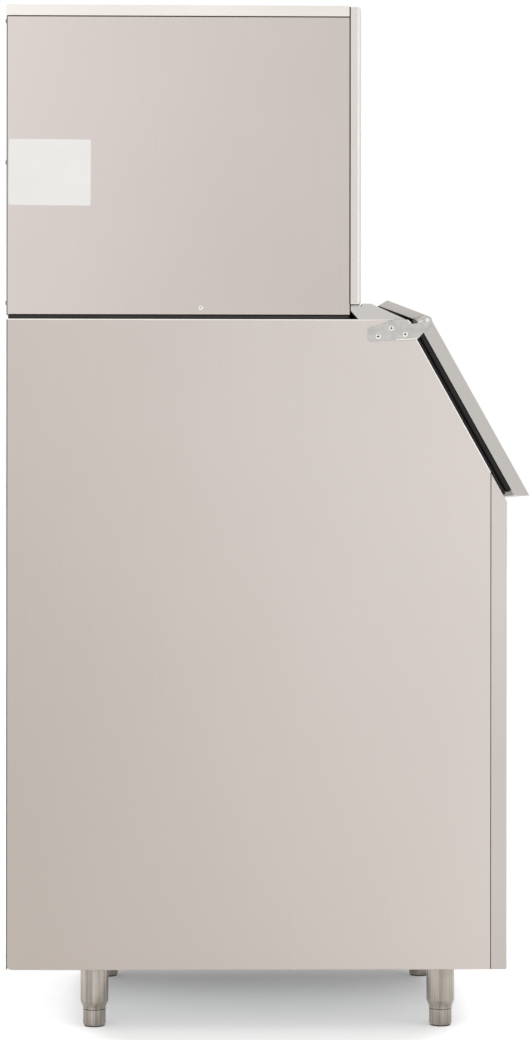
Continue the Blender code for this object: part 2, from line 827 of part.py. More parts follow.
def make_door_gasket(rubber):
    """Bellows gasket down both sides and along the bottom, mitred at its corners."""
    outer = half_width - door_side_clearance
    bottom = slope_length - gasket_bottom_margin
    low, high = gap, gap + gasket_height
    ridge_share, waist_share = 0.36, 0.68
    ridge, waist = low + gasket_height * ridge_share, low + gasket_height * waist_share
    width, groove = gasket_width, gasket_groove
    profile = [(0, low), (groove * waist_share, ridge), (groove, waist), (0, high), (width, high),
               (width - groove, waist), (width - groove * waist_share, ridge), (width, low)]
    stations = [(-1, gasket_top_down, 0), (-1, bottom, 1), (1, bottom, 1), (1, gasket_top_down, 0)]
    rings = [[world(side * (outer - inward), *slope_point(down - inward * mitre, out))
              for inward, out in profile] for side, down, mitre in stations]
    finish(loft("door_gasket", rings), rubber)


# Legs

def leg_places():
    """Name, x and depth of the four legs."""
    x = half_width - leg_side_inset
    front = bin_depth - leg_front_inset
    return [("rear_left", -x, leg_rear_inset), ("rear_right", x, leg_rear_inset),
            ("front_left", -x, front), ("front_right", x, front)]


def upright_frame(x, depth, z=0):
    """Upright frame for a turned piece."""
    return Matrix.Translation(world(x, depth, z))


def make_legs(steel, dark):
    """Steel sleeves under the bin, each with a foot that screws out."""
    top = bin_bottom_z - gap
    bore = foot_stem_radius + foot_stem_clearance
    sleeve = [(bore, top), (sleeve_radius, top), (sleeve_radius, sleeve_taper_top_z),
              (foot_radius, sleeve_taper_bottom_z), (foot_radius, sleeve_bottom_z), (bore, sleeve_bottom_z)]
    shoulder = sleeve_bottom_z - gap
    stem_top = shoulder + foot_stem_length
    groove_top = shoulder - hex_groove_height
    waist = foot_radius - hex_groove_depth
    foot = [(0, stem_top), (foot_stem_radius, stem_top), (foot_stem_radius, shoulder),
            (foot_radius, shoulder), (foot_radius, groove_top), (waist, groove_top - hex_groove_depth),
            (waist, groove_top - hex_groove_height), (foot_radius, groove_top - hex_groove_height
                                                      - hex_groove_depth)]
    arc = foot_radius - sole_radius
    foot += [(sole_radius + arc * math.cos(math.radians(angle)),
              foot_round - foot_round * math.sin(math.radians(angle)) * (1 - sole_height / foot_round))
             for angle in (0, 45, 90)]
    foot += [(sole_radius, 0), (0, 0)]
    for word, x, depth in leg_places():
        finish(turned(f"leg_sleeve_{word}", sleeve, upright_frame(x, depth), 16, True), steel)
        finish(turned(f"leg_foot_{word}", foot, upright_frame(x, depth), 16), dark)


# Ice machine head: outer sheets

louvre_width = 0.085
louvre_height = 0.006
louvre_pitch = 0.016
louvre_count = 11
louvre_spread_share = 0.6
rear_louvre_rise = 0.218
front_louvre_rise = 0.128
bezel_half_width = 0.060
bezel_half_height = 0.024
bezel_side_clearance = 0.070
bezel_below_top = 0.0875
bezel_rim = 0.006
bezel_back = 0.0030
display_place_share = -1 / 3
button_place_share = 2 / 3
button_face_share = 0.8
bezel_recess = 0.0008
button_radius = 0.0075
button_clearance = 0.0004
button_travel = 0.0020
button_proud = 0.0003
button_flange = 0.0015
display_half_width = 0.022
display_half_height = 0.012
connection_width = 0.160
connection_height = 0.090
connection_side_clearance = 0.035
connection_rise = 0.033
connection_depth = 0.048
bezel_x = bezel_side_clearance + bezel_half_width - half_width
bezel_z = head_top_z - bezel_below_top
connection_right = half_width - connection_side_clearance
connection_left = connection_right - connection_width
connection_low_z = head_bottom_z + connection_rise
connection_high_z = connection_low_z + connection_height


def louvres(z_centre):
    """Two columns of slots over the machine side of the head."""
    slots = []
    for side in (-1, 1):
        x = -half_width / 2 + side * louvre_width * louvre_spread_share
        for k in range(louvre_count):
            z = z_centre + (k - (louvre_count - 1) / 2) * louvre_pitch
            slots.append(rectangle(x - louvre_width / 2, z - louvre_height / 2,
                                   x + louvre_width / 2, z + louvre_height / 2))
    return slots


def make_head_sides(steel):
    """Flat folded side sheets of the head."""
    outline = rectangle(sheet + gap, head_bottom_z + gap, head_side_depth, head_side_top_z - gap)
    for word, side in (("left", -1), ("right", 1)):
        finish(folded(f"head_side_panel_{word}", side_points(outline, side), flange_width,
                      side_frame(side * half_width, side)), steel)


def make_top_cover(steel):
    """Cap whose edge turns down to the side panels."""
    outline = rectangle(-half_width, 0, half_width, head_side_depth)
    finish(folded("head_top_cover", outline, cover_rim_height - gap, top_frame(head_top_z)), steel)


def make_head_rear(steel):
    """Rear sheet with vent slots and a window for the connections."""
    outline = rectangle(-half_width, head_bottom_z + gap, half_width, head_side_top_z - gap)
    window = rectangle(connection_left, connection_low_z, connection_right, connection_high_z)
    holes = [window] + louvres(head_bottom_z + rear_louvre_rise)
    finish(plate("head_rear_panel", outline, sheet, front_frame(0), holes), steel)


def make_head_front(steel):
    """Front pan with vent slots before the condenser and a window for the control bezel."""
    low = head_bottom_z + front_panel_lift
    high = head_top_z - front_panel_top_set_down
    outline = rectangle(-half_width, low, half_width, high)
    pan = folded("head_front_panel", outline, front_panel_depth, back_frame(head_depth),
                 radius=front_fold_radius)
    clearance = sheet + gap
    cut(pan, bezel_block("bezel_window", 0, head_depth - clearance, head_depth + overrun))
    for number, slot in enumerate(louvres(head_bottom_z + front_louvre_rise)):
        (x0, z0), (x1, z1) = slot[0], slot[2]
        cut(pan, block(f"front_slot_{number}", (x0, head_depth - clearance, z0),
                       (x1, head_depth + overrun, z1)))
    finish(pan, steel)


def bezel_block(name, margin, rear_depth, front_depth):
    """Block of the control bezel's size, grown all round by a margin."""
    across, up = bezel_half_width + margin, bezel_half_height + margin
    return block(name, (bezel_x - across, rear_depth, bezel_z - up),
                 (bezel_x + across, front_depth, bezel_z + up))


def make_controls(plastic, button_plastic):
    """Control bezel set in the front panel, with two buttons that travel in it."""
    behind = head_depth - sheet - gap
    body = bezel_block("control_bezel", -gap, behind - bezel_back, head_depth)
    fuse(body, bezel_block("bezel_flange", bezel_rim, behind - bezel_back, behind))
    display_x = bezel_x + bezel_half_width * display_place_share
    recess = block("display_recess", (display_x - display_half_width, head_depth - bezel_recess,
                                      bezel_z - display_half_height),
                   (display_x + display_half_width, head_depth + overrun, bezel_z + display_half_height))
    cut(body, recess)
    bore = button_radius + button_clearance
    spacing = bezel_half_height / 2
    for word, z in (("power", bezel_z + spacing), ("clean", bezel_z - spacing)):
        x = bezel_x + bezel_half_width * button_place_share
        forward = frame_of((1, 0, 0), (0, 0, 1), world(x, head_depth, z))
        back = -(head_depth - behind + bezel_back)
        cut(body, turned(f"{word}_bore", [(0, overrun), (bore, overrun), (bore, back - overrun),
                                          (0, back - overrun)], forward, 18))
        stop, tail = back - gap, back - gap - button_flange
        profile = [(0, button_proud), (button_radius * button_face_share, button_proud),
                   (button_radius, button_proud - bezel_recess), (button_radius, stop),
                   (button_radius + button_flange, stop), (button_radius + button_flange, tail), (0, tail)]
        finish(turned(f"{word}_button", profile, forward, 18), button_plastic)
    finish(body, plastic)


def make_base_pan(steel):
    """Pan of the head with upturned edges and the chute that drops the ice into the bin."""
    half = half_width - sheet - gap
    rear = 2 * (sheet + gap)
    front = head_side_depth - sheet - gap
    outline = [(x, -depth) for x, depth in rectangle(-half, rear, half, front)][::-1]
    low = pan_floor_z - sheet
    pan = folded("head_base_pan", outline, pan_flange, frame_of((1, 0, 0), (0, 1, 0), world(0, 0, low)))
    outer = (chute_left, chute_rear_depth, chute_right, chute_front_depth)
    inner = (chute_left + chute_sheet, chute_rear_depth + chute_sheet,
             chute_right - chute_sheet, chute_front_depth - chute_sheet)
    top = pan_floor_z + chute_top_rise
    bottom = bin_top_z - sheet - chute_below_deck
    fuse(pan, plate("chute_body", rectangle(*outer), top - bottom, top_frame(top)))
    cut(pan, plate("chute_bore", rectangle(*inner), top - bottom + 2 * overrun, top_frame(top + overrun)))
    finish(pan, steel)


def make_head_gasket(rubber):
    """Sealing ring between the head and the bin."""
    side = half_width - head_gasket_margin
    rear, front = head_gasket_margin, head_side_depth
    ring, width = rectangle(-side, rear, side, front), head_gasket_width
    hole = rectangle(-side + width, rear + width, side - width, front - width)
    finish(plate("head_gasket", ring, head_gasket_height - gap, top_frame(head_bottom_z), [hole]), rubber)


def make_bulkhead(steel):
    """Upright partition between the machine side and the ice side."""
    rear = 3 * sheet + 2 * gap + bend
    front = head_side_depth - rear
    outline = rectangle(rear, pan_floor_z + gap, front, head_top_z - sheet - gap)
    hole = circle(suction_depth, suction_z, suction_radius * 2, 16)
    finish(plate("bulkhead", outline, sheet, side_frame(bulkhead_x), [hole]), steel)


# Ice making side

evaporator_side_clearance = 0.0697
evaporator_height = 0.264
evaporator_depth = 0.026
evaporator_columns = 8
evaporator_rows = 9
evaporator_rib = 0.0007
evaporator_draft = 0.0022
evaporator_cell_depth = 0.021
evaporator_behind_chute = 0.015
evaporator_rise = 0.138
coil_radius = 0.0048
coil_rows = 8
suction_radius = 0.006
curtain_sheet = 0.002
curtain_offset = 0.014
curtain_dip = 0.0037
curtain_ear = 0.004
curtain_side_gap = 0.010
trough_depth = 0.072
trough_height = 0.060
trough_sheet = 0.002
trough_end_clearance = 0.004
trough_below_plate = 0.008
pump_body_share = 0.26
pump_motor_share = 0.35
pump_neck_share = 0.12
distributor_radius = 0.009
evaporator_left = bulkhead_x + gap
evaporator_right = half_width - evaporator_side_clearance
evaporator_width = evaporator_right - evaporator_left
evaporator_front_depth = chute_rear_depth - evaporator_behind_chute
evaporator_bottom_z = head_bottom_z + evaporator_rise
evaporator_rear_depth = evaporator_front_depth - evaporator_depth
evaporator_top_z = evaporator_bottom_z + evaporator_height
curtain_depth = evaporator_front_depth + curtain_offset
distributor_z = evaporator_top_z + gap + distributor_radius
coil_centre_depth = evaporator_rear_depth - gap - coil_radius
suction_depth = coil_centre_depth
suction_z = evaporator_top_z - evaporator_height / (2 * coil_rows)


def make_evaporator(plated):
    """Grid plate that freezes one cube in each open cell."""
    bm = bmesh.new()
    bmesh.ops.create_grid(bm, x_segments=evaporator_columns, y_segments=evaporator_rows, size=0.5)
    bmesh.ops.scale(bm, vec=(evaporator_width, evaporator_height, 1), verts=bm.verts)
    cells = list(bm.faces)
    rim = [edge for edge in bm.edges if edge.is_boundary]
    sides = bmesh.ops.extrude_edge_only(bm, edges=rim)["geom"]
    moved = [item for item in sides if isinstance(item, bmesh.types.BMVert)]
    bmesh.ops.translate(bm, verts=moved, vec=(0, 0, -evaporator_depth))
    bmesh.ops.holes_fill(bm, edges=[edge for edge in bm.edges if edge.is_boundary])
    bmesh.ops.inset_individual(bm, faces=cells, thickness=evaporator_rib, use_even_offset=True)
    bmesh.ops.inset_individual(bm, faces=cells, thickness=evaporator_draft, depth=-evaporator_cell_depth,
                               use_even_offset=True)
    bmesh.ops.recalc_face_normals(bm, faces=bm.faces)
    centre = world((evaporator_left + evaporator_right) / 2, evaporator_front_depth,
                   (evaporator_bottom_z + evaporator_top_z) / 2)
    placement = frame_of((1, 0, 0), (0, 0, 1), centre)
    finish(mesh_object("evaporator_plate", bm, placement), plated)


def make_evaporator_coil(copper):
    """Serpentine tube on the back of the grid plate."""
    pitch = evaporator_height / coil_rows
    bend_radius = pitch / 2
    left = evaporator_left + bend_radius + coil_radius + gap
    right = evaporator_right - bend_radius - coil_radius
    points = []
    for row in range(coil_rows):
        z = evaporator_top_z - pitch * (row + 0.5)
        ends = (left, right) if row % 2 == 0 else (right, left)
        if row == 0:
            ends = (evaporator_left + coil_radius, right)
        points += [world(x, coil_centre_depth, z) for x in ends]
        if row < coil_rows - 1:
            way = 1 if row % 2 == 0 else -1
            for k in range(1, 5):
                angle = math.pi * k / 5
                points.append(world(ends[1] + way * bend_radius * math.sin(angle), coil_centre_depth,
                                    z - bend_radius + bend_radius * math.cos(angle)))
    finish(tube("evaporator_coil", points, coil_radius, 1), copper)


def make_distributor(plastic):
    """Water distributor over the grid plate, with ears that carry the curtain."""
    back = evaporator_front_depth - distributor_radius
    placement_x = evaporator_left, evaporator_right
    pipe = rod_along_x("distributor", distributor_radius, *placement_x, back, distributor_z, 20)
    ear_low, ear_high = distributor_z - distributor_radius / 2, distributor_z + distributor_radius / 2
    bore = pin_radius + pin_clearance
    for number, x in enumerate((evaporator_left + curtain_ear, evaporator_right)):
        outline = rectangle(back, ear_low, curtain_depth, ear_high)[:2]
        outline += [(curtain_depth + distributor_radius / 2 * math.cos(angle),
                     distributor_z + distributor_radius / 2 * math.sin(angle))
                    for angle in (-math.pi / 3, 0, math.pi / 3)]
        outline += [(curtain_depth, ear_high), (back, ear_high)]
        fuse(pipe, plate(f"curtain_ear_{number}", outline, curtain_ear, side_frame(x)))
    cut(pipe, rod_along_x("curtain_bore", bore, evaporator_left - overrun, evaporator_right + overrun,
                          curtain_depth, distributor_z))
    finish(pipe, plastic)


def make_curtain(plastic):
    """Hinged sheet before the grid plate, hung on two stub pins."""
    left = evaporator_left + curtain_ear + curtain_side_gap
    right = evaporator_right - curtain_ear - curtain_side_gap
    half = (right - left) / 2
    middle = (left + right) / 2
    top = distributor_z + pin_radius
    bottom = evaporator_bottom_z - trough_below_plate - curtain_dip
    kick = curtain_offset / 2
    face = curtain_depth - curtain_sheet / 2
    path = [(face - kick, bottom), (face, bottom + 2 * kick), (face, top)]
    sheet_body = span("water_curtain", strip(path, -curtain_sheet)[::-1], half, middle)
    reach = curtain_ear + curtain_side_gap - gap
    fuse(sheet_body, rod_along_x("curtain_pin", pin_radius, left - reach, right + reach, curtain_depth,
                                 distributor_z, 16))
    finish(sheet_body, plastic)


def open_box(name, low, high, thickness):
    """Thin-walled box, open at the top."""
    outline = [(x, -depth) for x, depth in rectangle(low[0], low[1], high[0], high[1])][::-1]
    frame = frame_of((1, 0, 0), (0, 1, 0), world(0, 0, low[2]))
    return folded(name, outline, high[2] - low[2], frame, thickness, radius=2 * thickness)


def make_trough(plastic):
    """Water trough under the grid plate."""
    top = evaporator_bottom_z - trough_below_plate
    low = (bulkhead_x + gap, evaporator_front_depth - trough_depth, top - trough_height)
    high = (half_width - sheet - trough_end_clearance, evaporator_front_depth, top)
    finish(open_box("water_trough", low, high, trough_sheet), plastic)
    return low, high


def make_pump(plastic, trough_low, trough_high):
    """Circulation pump standing in the trough, its motor above the rim."""
    foot = trough_low[2] + trough_sheet + gap
    width = trough_high[1] - trough_low[1]
    body, motor, neck = width * pump_body_share, width * pump_motor_share, width * pump_neck_share
    rim = trough_high[2]
    depth = (trough_low[1] + trough_high[1]) / 2
    x = evaporator_right + motor + trough_end_clearance
    lid = rim + motor / 2
    crown = lid + 2 * motor
    profile = [(0, crown), (motor - neck / 2, crown), (motor, crown - neck / 2), (motor, lid), (neck, lid),
               (neck, foot + body), (body, foot + body), (body, foot), (0, foot)]
    finish(turned("water_pump", profile, upright_frame(x, depth), 20), plastic)


# Machine side

condenser_left_clearance = 0.018
condenser_right_clearance = 0.014
condenser_front_clearance = 0.018
condenser_height = 0.232
condenser_depth = 0.044
condenser_columns = 20
condenser_rows = 2
condenser_fin = 0.0012
condenser_margin = 0.007
duct_length = 0.032
duct_hole_radius = 0.082
duct_collar = 0.012
duct_collar_sheet = 0.002
fan_radius = 0.078
fan_hub_radius = 0.021
fan_hub_height = 0.018
fan_blades = 5
fan_blade_sheet = 0.0016
fan_hub_chamfer_share = 0.8
fan_root_share = 0.7
fan_chord_share = 0.95
fan_chord_taper_share = 0.25
fan_camber_share = 0.06
fan_rake_share = 0.5
fan_section_shares = ((-0.5, -0.5), (0, -0.5), (0.5, -0.5), (0.5, 0.5), (0, 0.5), (-0.5, 0.5))
fan_pitch_root = math.radians(38)
fan_pitch_tip = math.radians(20)
fan_shaft_radius = 0.004
fan_shaft_clearance = 0.0002
motor_radius = 0.036
motor_length = 0.052
motor_behind_fan = 0.010
motor_edge_share = 0.125
arm_radius = 0.0032
arm_reach = 0.098
arm_root_share = 0.8
arm_height_share = 0.25
compressor_radius = 0.074
compressor_height = 0.185
compressor_side_clearance = 0.054
compressor_rear_clearance = 0.131
compressor_foot = 0.012
compressor_base_sheet = 0.003
compressor_base_share = 1.05
compressor_dome_share = 0.45
compressor_shoulder_share = 0.25
compressor_waist_share = 0.8
weld_height_share = 0.5
weld_bead = 0.003
grommet_radius = 0.0096
grommet_height = 0.004
grommet_place_share = 0.82
suction_height_share = 0.62
suction_bend = 0.018
box_side_clearance = 0.012
box_depth = 0.090
box_height = 0.182
box_front_clearance = 0.010
box_top_clearance = 0.0305
condenser_left = condenser_left_clearance - half_width
condenser_right = bulkhead_x - condenser_right_clearance
condenser_front_depth = head_side_depth - condenser_front_clearance
compressor_x = compressor_side_clearance + compressor_radius - half_width
compressor_depth = compressor_rear_clearance + compressor_radius
fan_x = (condenser_left + condenser_right) / 2
condenser_low_z = pan_floor_z + gap
fan_z = condenser_low_z + condenser_height / 2
duct_front_depth = condenser_front_depth - condenser_depth - gap
duct_rear_depth = duct_front_depth - duct_length
fan_middle_depth = duct_rear_depth + sheet / 2


def make_condenser(aluminium):
    """Finned condenser: upright fins between end bars, crossed by tube rows."""
    low, high = condenser_low_z, condenser_low_z + condenser_height
    width = condenser_right - condenser_left - 2 * condenser_margin
    pitch = width / condenser_columns
    row_height = (condenser_height - condenser_margin) / condenser_rows
    slots = []
    for column in range(condenser_columns):
        x0 = condenser_left + condenser_margin + column * pitch + condenser_fin / 2
        for row in range(condenser_rows):
            z0 = low + condenser_margin + row * row_height
            slots.append(rectangle(x0, z0, x0 + pitch - condenser_fin, z0 + row_height - condenser_margin))
    outline = rectangle(condenser_left, low, condenser_right, high)
    finish(plate("condenser", outline, condenser_depth,
                 front_frame(condenser_front_depth - condenser_depth), slots), aluminium)


def make_fan_shroud(steel):
    """Duct from the condenser to the round fan opening with its collar."""
    low, high = condenser_low_z, condenser_low_z + condenser_height
    outline = rectangle(condenser_left, low, condenser_right, high)
    shroud = folded("fan_shroud", outline, duct_length, front_frame(duct_rear_depth), radius=0)
    rearward = rearward_frame(fan_x, duct_rear_depth, fan_z)
    outer = duct_hole_radius + duct_collar_sheet
    collar_front = -sheet / 2
    collar = [(0, duct_collar), (outer, duct_collar), (outer, collar_front), (0, collar_front)]
    fuse(shroud, turned("duct_collar", collar, rearward, 32))
    bore = [(0, duct_collar + overrun), (duct_hole_radius, duct_collar + overrun),
            (duct_hole_radius, -overrun), (0, -overrun)]
    cut(shroud, turned("duct_bore", bore, rearward, 32))
    finish(shroud, steel)


def make_fan(plastic):
    """Hub with twisted blades, its bore open for the motor shaft."""
    rearward = rearward_frame(fan_x, fan_middle_depth, fan_z)
    half = fan_hub_height / 2
    chamfer = fan_hub_radius * fan_hub_chamfer_share
    hub = turned("fan_blade", [(0, half), (fan_hub_radius, half), (fan_hub_radius, -half),
                               (chamfer, -half - sheet), (0, -half - sheet)], rearward, 20)
    root, stations = fan_hub_radius * fan_root_share, 4
    for blade in range(fan_blades):
        turn_to_blade = Matrix.Rotation(math.tau * blade / fan_blades, 4, "Z")
        rings = []
        for k in range(stations):
            share = k / (stations - 1)
            radius = root + (fan_radius - root) * share
            pitch = fan_pitch_root + (fan_pitch_tip - fan_pitch_root) * share
            chord = radius * (fan_chord_share - fan_chord_taper_share * share)
            ring = []
            for offset, rise in fan_section_shares:
                camber = 0 if offset else chord * fan_camber_share
                along, up = offset * chord, rise * fan_blade_sheet + camber
                angle = along * math.cos(pitch) / radius
                place = Vector((radius * math.cos(angle), radius * math.sin(angle),
                                along * math.sin(pitch) * fan_rake_share + up))
                ring.append(rearward @ turn_to_blade @ place)
            rings.append(ring)
        fuse(hub, loft(f"blade_{blade}", rings))
    bore = fan_shaft_radius + fan_shaft_clearance
    cut(hub, turned("fan_bore", [(0, half + overrun), (bore, half + overrun), (bore, -half / 2),
                                 (0, -half / 2)], rearward, 16))
    finish(hub, plastic, math.radians(35))


def make_fan_motor(steel):
    """Motor behind the fan on four arms bolted to the duct, its shaft in the hub."""
    rearward = rearward_frame(fan_x, fan_middle_depth, fan_z)
    front = fan_hub_height / 2 + motor_behind_fan
    back = front + motor_length
    edge = motor_radius * motor_edge_share
    shaft_tip = -fan_hub_height / 4 + gap
    motor = turned("fan_motor", [(0, back), (motor_radius - edge, back), (motor_radius, back - edge),
                                 (motor_radius, front + edge), (motor_radius - edge, front),
                                 (fan_shaft_radius, front), (fan_shaft_radius, shaft_tip), (0, shaft_tip)],
                   rearward, 20)
    seat = sheet / 2 + gap
    for arm in range(4):
        turn = Matrix.Rotation(math.pi / 4 + math.pi / 2 * arm, 4, "Z")
        middle = front + motor_length * arm_height_share
        route = [(motor_radius * arm_root_share, middle), (arm_reach - arm_radius, middle),
                 (arm_reach, middle - arm_radius), (arm_reach, seat)]
        points = [rearward @ turn @ Vector((radius, 0, z)) for radius, z in route]
        fuse(motor, tube(f"motor_arm_{arm}", points, arm_radius, 1))
    finish(motor, steel)


def make_compressor(dark):
    """Welded compressor can on a base plate with grommet feet."""
    foot = pan_floor_z + gap
    base = foot + compressor_foot
    top = base + compressor_height
    radius, bead = compressor_radius, weld_bead
    crown = radius * compressor_dome_share
    dome = [(radius * math.sin(math.radians(angle)), top - crown * (1 - math.cos(math.radians(angle))))
            for angle in (0, 25, 50, 75, 90)]
    weld = base + compressor_height * weld_height_share
    body = dome + [(radius, weld + 2 * bead), (radius + bead, weld + bead), (radius + bead, weld - bead),
                   (radius, weld - 2 * bead), (radius, base + radius * compressor_shoulder_share),
                   (radius * compressor_waist_share, base), (0, base)]
    can = turned("compressor", body, upright_frame(compressor_x, compressor_depth), 20)
    reach, half = radius * compressor_base_share, compressor_base_sheet / 2
    fuse(can, block("compressor_base", (compressor_x - reach, compressor_depth - reach, base - half),
                    (compressor_x + reach, compressor_depth + reach, base + half)))
    spread, cap = reach * grommet_place_share, base + grommet_height
    for number, (side_x, side_depth) in enumerate(((-1, -1), (1, -1), (1, 1), (-1, 1))):
        place = upright_frame(compressor_x + side_x * spread, compressor_depth + side_depth * spread)
        profile = [(0, cap), (grommet_radius, cap), (grommet_radius, foot), (0, foot)]
        fuse(can, turned(f"grommet_{number}", profile, place, 10))
    finish(can, dark, math.radians(40))


def make_suction_line(copper):
    """Tube from the evaporator through the bulkhead down to the compressor."""
    turn, corner = suction_bend, suction_bend / 3
    over = compressor_x + compressor_radius + turn + suction_radius
    low_z = pan_floor_z + compressor_foot + compressor_height * suction_height_share
    end_x = compressor_x + compressor_radius + gap
    knots = [(evaporator_left - gap, suction_depth, suction_z), (over + corner, suction_depth, suction_z),
             (over, suction_depth - corner, suction_z - corner / 2),
             (over, compressor_depth + turn, suction_z - corner),
             (over, compressor_depth, suction_z - turn - corner),
             (over, compressor_depth, low_z + 2 * corner),
             (over - corner, compressor_depth, low_z), (end_x, compressor_depth, low_z)]
    points = [world(*knot) for knot in knots]
    finish(tube("suction_line", points, suction_radius, 2), copper)


def make_control_box(steel):
    """Electrical box behind the control bezel, with a lid edge."""
    left, right = box_side_clearance - half_width, bulkhead_x - sheet - gap
    front, top = head_side_depth - box_front_clearance, head_top_z - box_top_clearance
    body = block("control_box", (left, front - box_depth, top - box_height), (right, front, top))
    rounding = body.modifiers.new("edges", "BEVEL")
    rounding.width = bend
    rounding.segments = 2
    finish(body, steel)


# Connections at the rear

fitting_thread_radius = 0.0105
fitting_hex_radius = 0.0150
fitting_hex_height = 0.009
fitting_thread_length = 0.018
fitting_bore_radius = 0.0070
fitting_shank_radius = 0.0095
fitting_nut_height = 0.006
drain_stub_radius = 0.0125
gland_radius = 0.0110
gland_bore = 0.0042
gland_tip_share = 0.7
gland_dome_share = 1.5


def make_connection_pan(steel):
    """Recessed pan in the rear panel that holds the connections, with the three fittings."""
    rim_gap = sheet + gap
    outline = rectangle(connection_left - gap, connection_low_z - gap,
                        connection_right + gap, connection_high_z + gap)
    pan = folded("connection_pan", [(-x, z) for x, z in outline][::-1], connection_depth - rim_gap,
                 back_frame(connection_depth), radius=0)
    third = (connection_right - connection_left) / 3
    middle_z = (connection_low_z + connection_high_z) / 2
    places = [connection_left + third * (k + 0.5) for k in range(3)]
    for number, x in enumerate(places):
        hole = fitting_shank_radius + gap
        profile = [(0, overrun), (hole, overrun), (hole, -overrun), (0, -overrun)]
        cut(pan, turned(f"fitting_hole_{number}", profile, rearward_frame(x, connection_depth, middle_z), 18))
    finish(pan, steel)
    return places, middle_z


def fitting_profile(bore, outer_steps, shank_radius):
    """Closed profile of a fitting: steps outside the pan, its shank and its inner nut."""
    face = sheet + gap
    inside = -gap
    outside = [(radius, face + height) for radius, height in outer_steps]
    tip = outside[0][1]
    nut = inside - fitting_nut_height
    return ([(bore, tip)] + outside + [(shank_radius, face), (shank_radius, inside),
            (fitting_hex_radius, inside), (fitting_hex_radius, nut), (bore, nut)])


def make_fittings(brass, plastic, places, z):
    """Threaded water inlet, plastic drain stub and cord gland."""
    hexagon, thread = fitting_hex_height, fitting_hex_height + fitting_thread_length
    inlet_steps = [(fitting_thread_radius, thread), (fitting_thread_radius, hexagon),
                   (fitting_hex_radius, hexagon), (fitting_hex_radius, 0)]
    drain_steps = [(drain_stub_radius, thread), (drain_stub_radius, hexagon / 2),
                   (fitting_hex_radius, hexagon / 2), (fitting_hex_radius, 0)]
    gland_steps = [(gland_radius * gland_tip_share, thread), (gland_radius, hexagon * gland_dome_share),
                   (gland_radius, hexagon), (fitting_hex_radius, hexagon), (fitting_hex_radius, 0)]
    rows = (("inlet_fitting", fitting_bore_radius, inlet_steps, brass),
            ("drain_fitting", fitting_bore_radius, drain_steps, plastic),
            ("cord_gland", gland_bore, gland_steps, plastic))
    for x, (name, bore, steps, look) in zip(places, rows):
        profile = fitting_profile(bore, steps, fitting_shank_radius)
        finish(turned(name, profile, rearward_frame(x, connection_depth, z), 18, True), look)


def build():
    """Make every piece of the ice machine."""
    for obj in list(bpy.data.objects):
        bpy.data.objects.remove(obj, do_unlink=True)
    bpy.context.scene.collection.children.link(collection)
    bpy.context.scene.collection.children.link(guides)

    steel = material("brushed_stainless", (0.62, 0.57, 0.54), 0.32, 1.0)
    bright = material("bright_edge_steel", (0.78, 0.76, 0.74), 0.25, 1.0)
    zinc = material("zinc_plated_steel", (0.55, 0.55, 0.54), 0.35, 1.0)
    polished = material("polished_steel", (0.72, 0.72, 0.72), 0.18, 1.0)
    foam = material("insulation_foam", (0.80, 0.70, 0.45), 0.9)
    white = material("white_plastic", (0.80, 0.81, 0.82), 0.4)
    black_rubber = material("black_rubber", (0.02, 0.018, 0.016), 0.7)
    black_plastic = material("black_plastic", (0.03, 0.03, 0.03), 0.45)
    grey_plastic = material("grey_plastic", (0.35, 0.35, 0.36), 0.45)
    leg_steel = material("leg_steel", (0.42, 0.38, 0.34), 0.28, 1.0)
    nickel = material("nickel_plate", (0.66, 0.63, 0.58), 0.3, 1.0)
    copper = material("copper_tube", (0.72, 0.38, 0.24), 0.3, 1.0)
    aluminium = material("aluminium_fin", (0.75, 0.76, 0.77), 0.4, 1.0)
    enamel = material("black_enamel", (0.02, 0.02, 0.022), 0.3)
    brass = material("brass", (0.72, 0.54, 0.25), 0.3, 1.0)

    make_bin_side_panels(steel)
    make_bin_front_panel(steel)
    make_bin_rear_panel(zinc)
    make_bin_bottom_panel(zinc)
    make_foam(foam)
    make_liner(white)
    make_top_deck(bright)
    make_mouth_top_trim(steel)
    make_mouth_frame(white)
    make_ice_baffle(white)
    make_bin_drain(grey_plastic)
    make_hinges(polished, polished)
    make_door(steel, white, black_rubber)
    make_legs(leg_steel, leg_steel)
    make_head_sides(steel)
    make_top_cover(bright)
    make_head_rear(zinc)
    make_head_front(steel)
    make_controls(black_plastic, grey_plastic)
    make_base_pan(zinc)
    make_head_gasket(black_rubber)
    make_bulkhead(zinc)
    make_evaporator(nickel)
    make_evaporator_coil(copper)
    make_distributor(white)
    make_curtain(white)
    low, high = make_trough(white)
    make_pump(black_plastic, low, high)
    make_condenser(aluminium)
    make_fan_shroud(zinc)
    make_fan(black_plastic)
    make_fan_motor(enamel)
    make_compressor(enamel)
    make_suction_line(copper)
    make_control_box(zinc)
    places, z = make_connection_pan(zinc)
    make_fittings(brass, grey_plastic, places, z)


build()
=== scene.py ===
"""Ice machine head on its storage bin: finishes, fine pieces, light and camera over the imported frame.

Units are metres and +Z is up. The front faces -Y, and the camera looks along +X at the left side.
Depths are measured forward from the rear face.
"""
import json
import math

import bmesh
import bpy
import numpy as np
from mathutils import Matrix, Vector

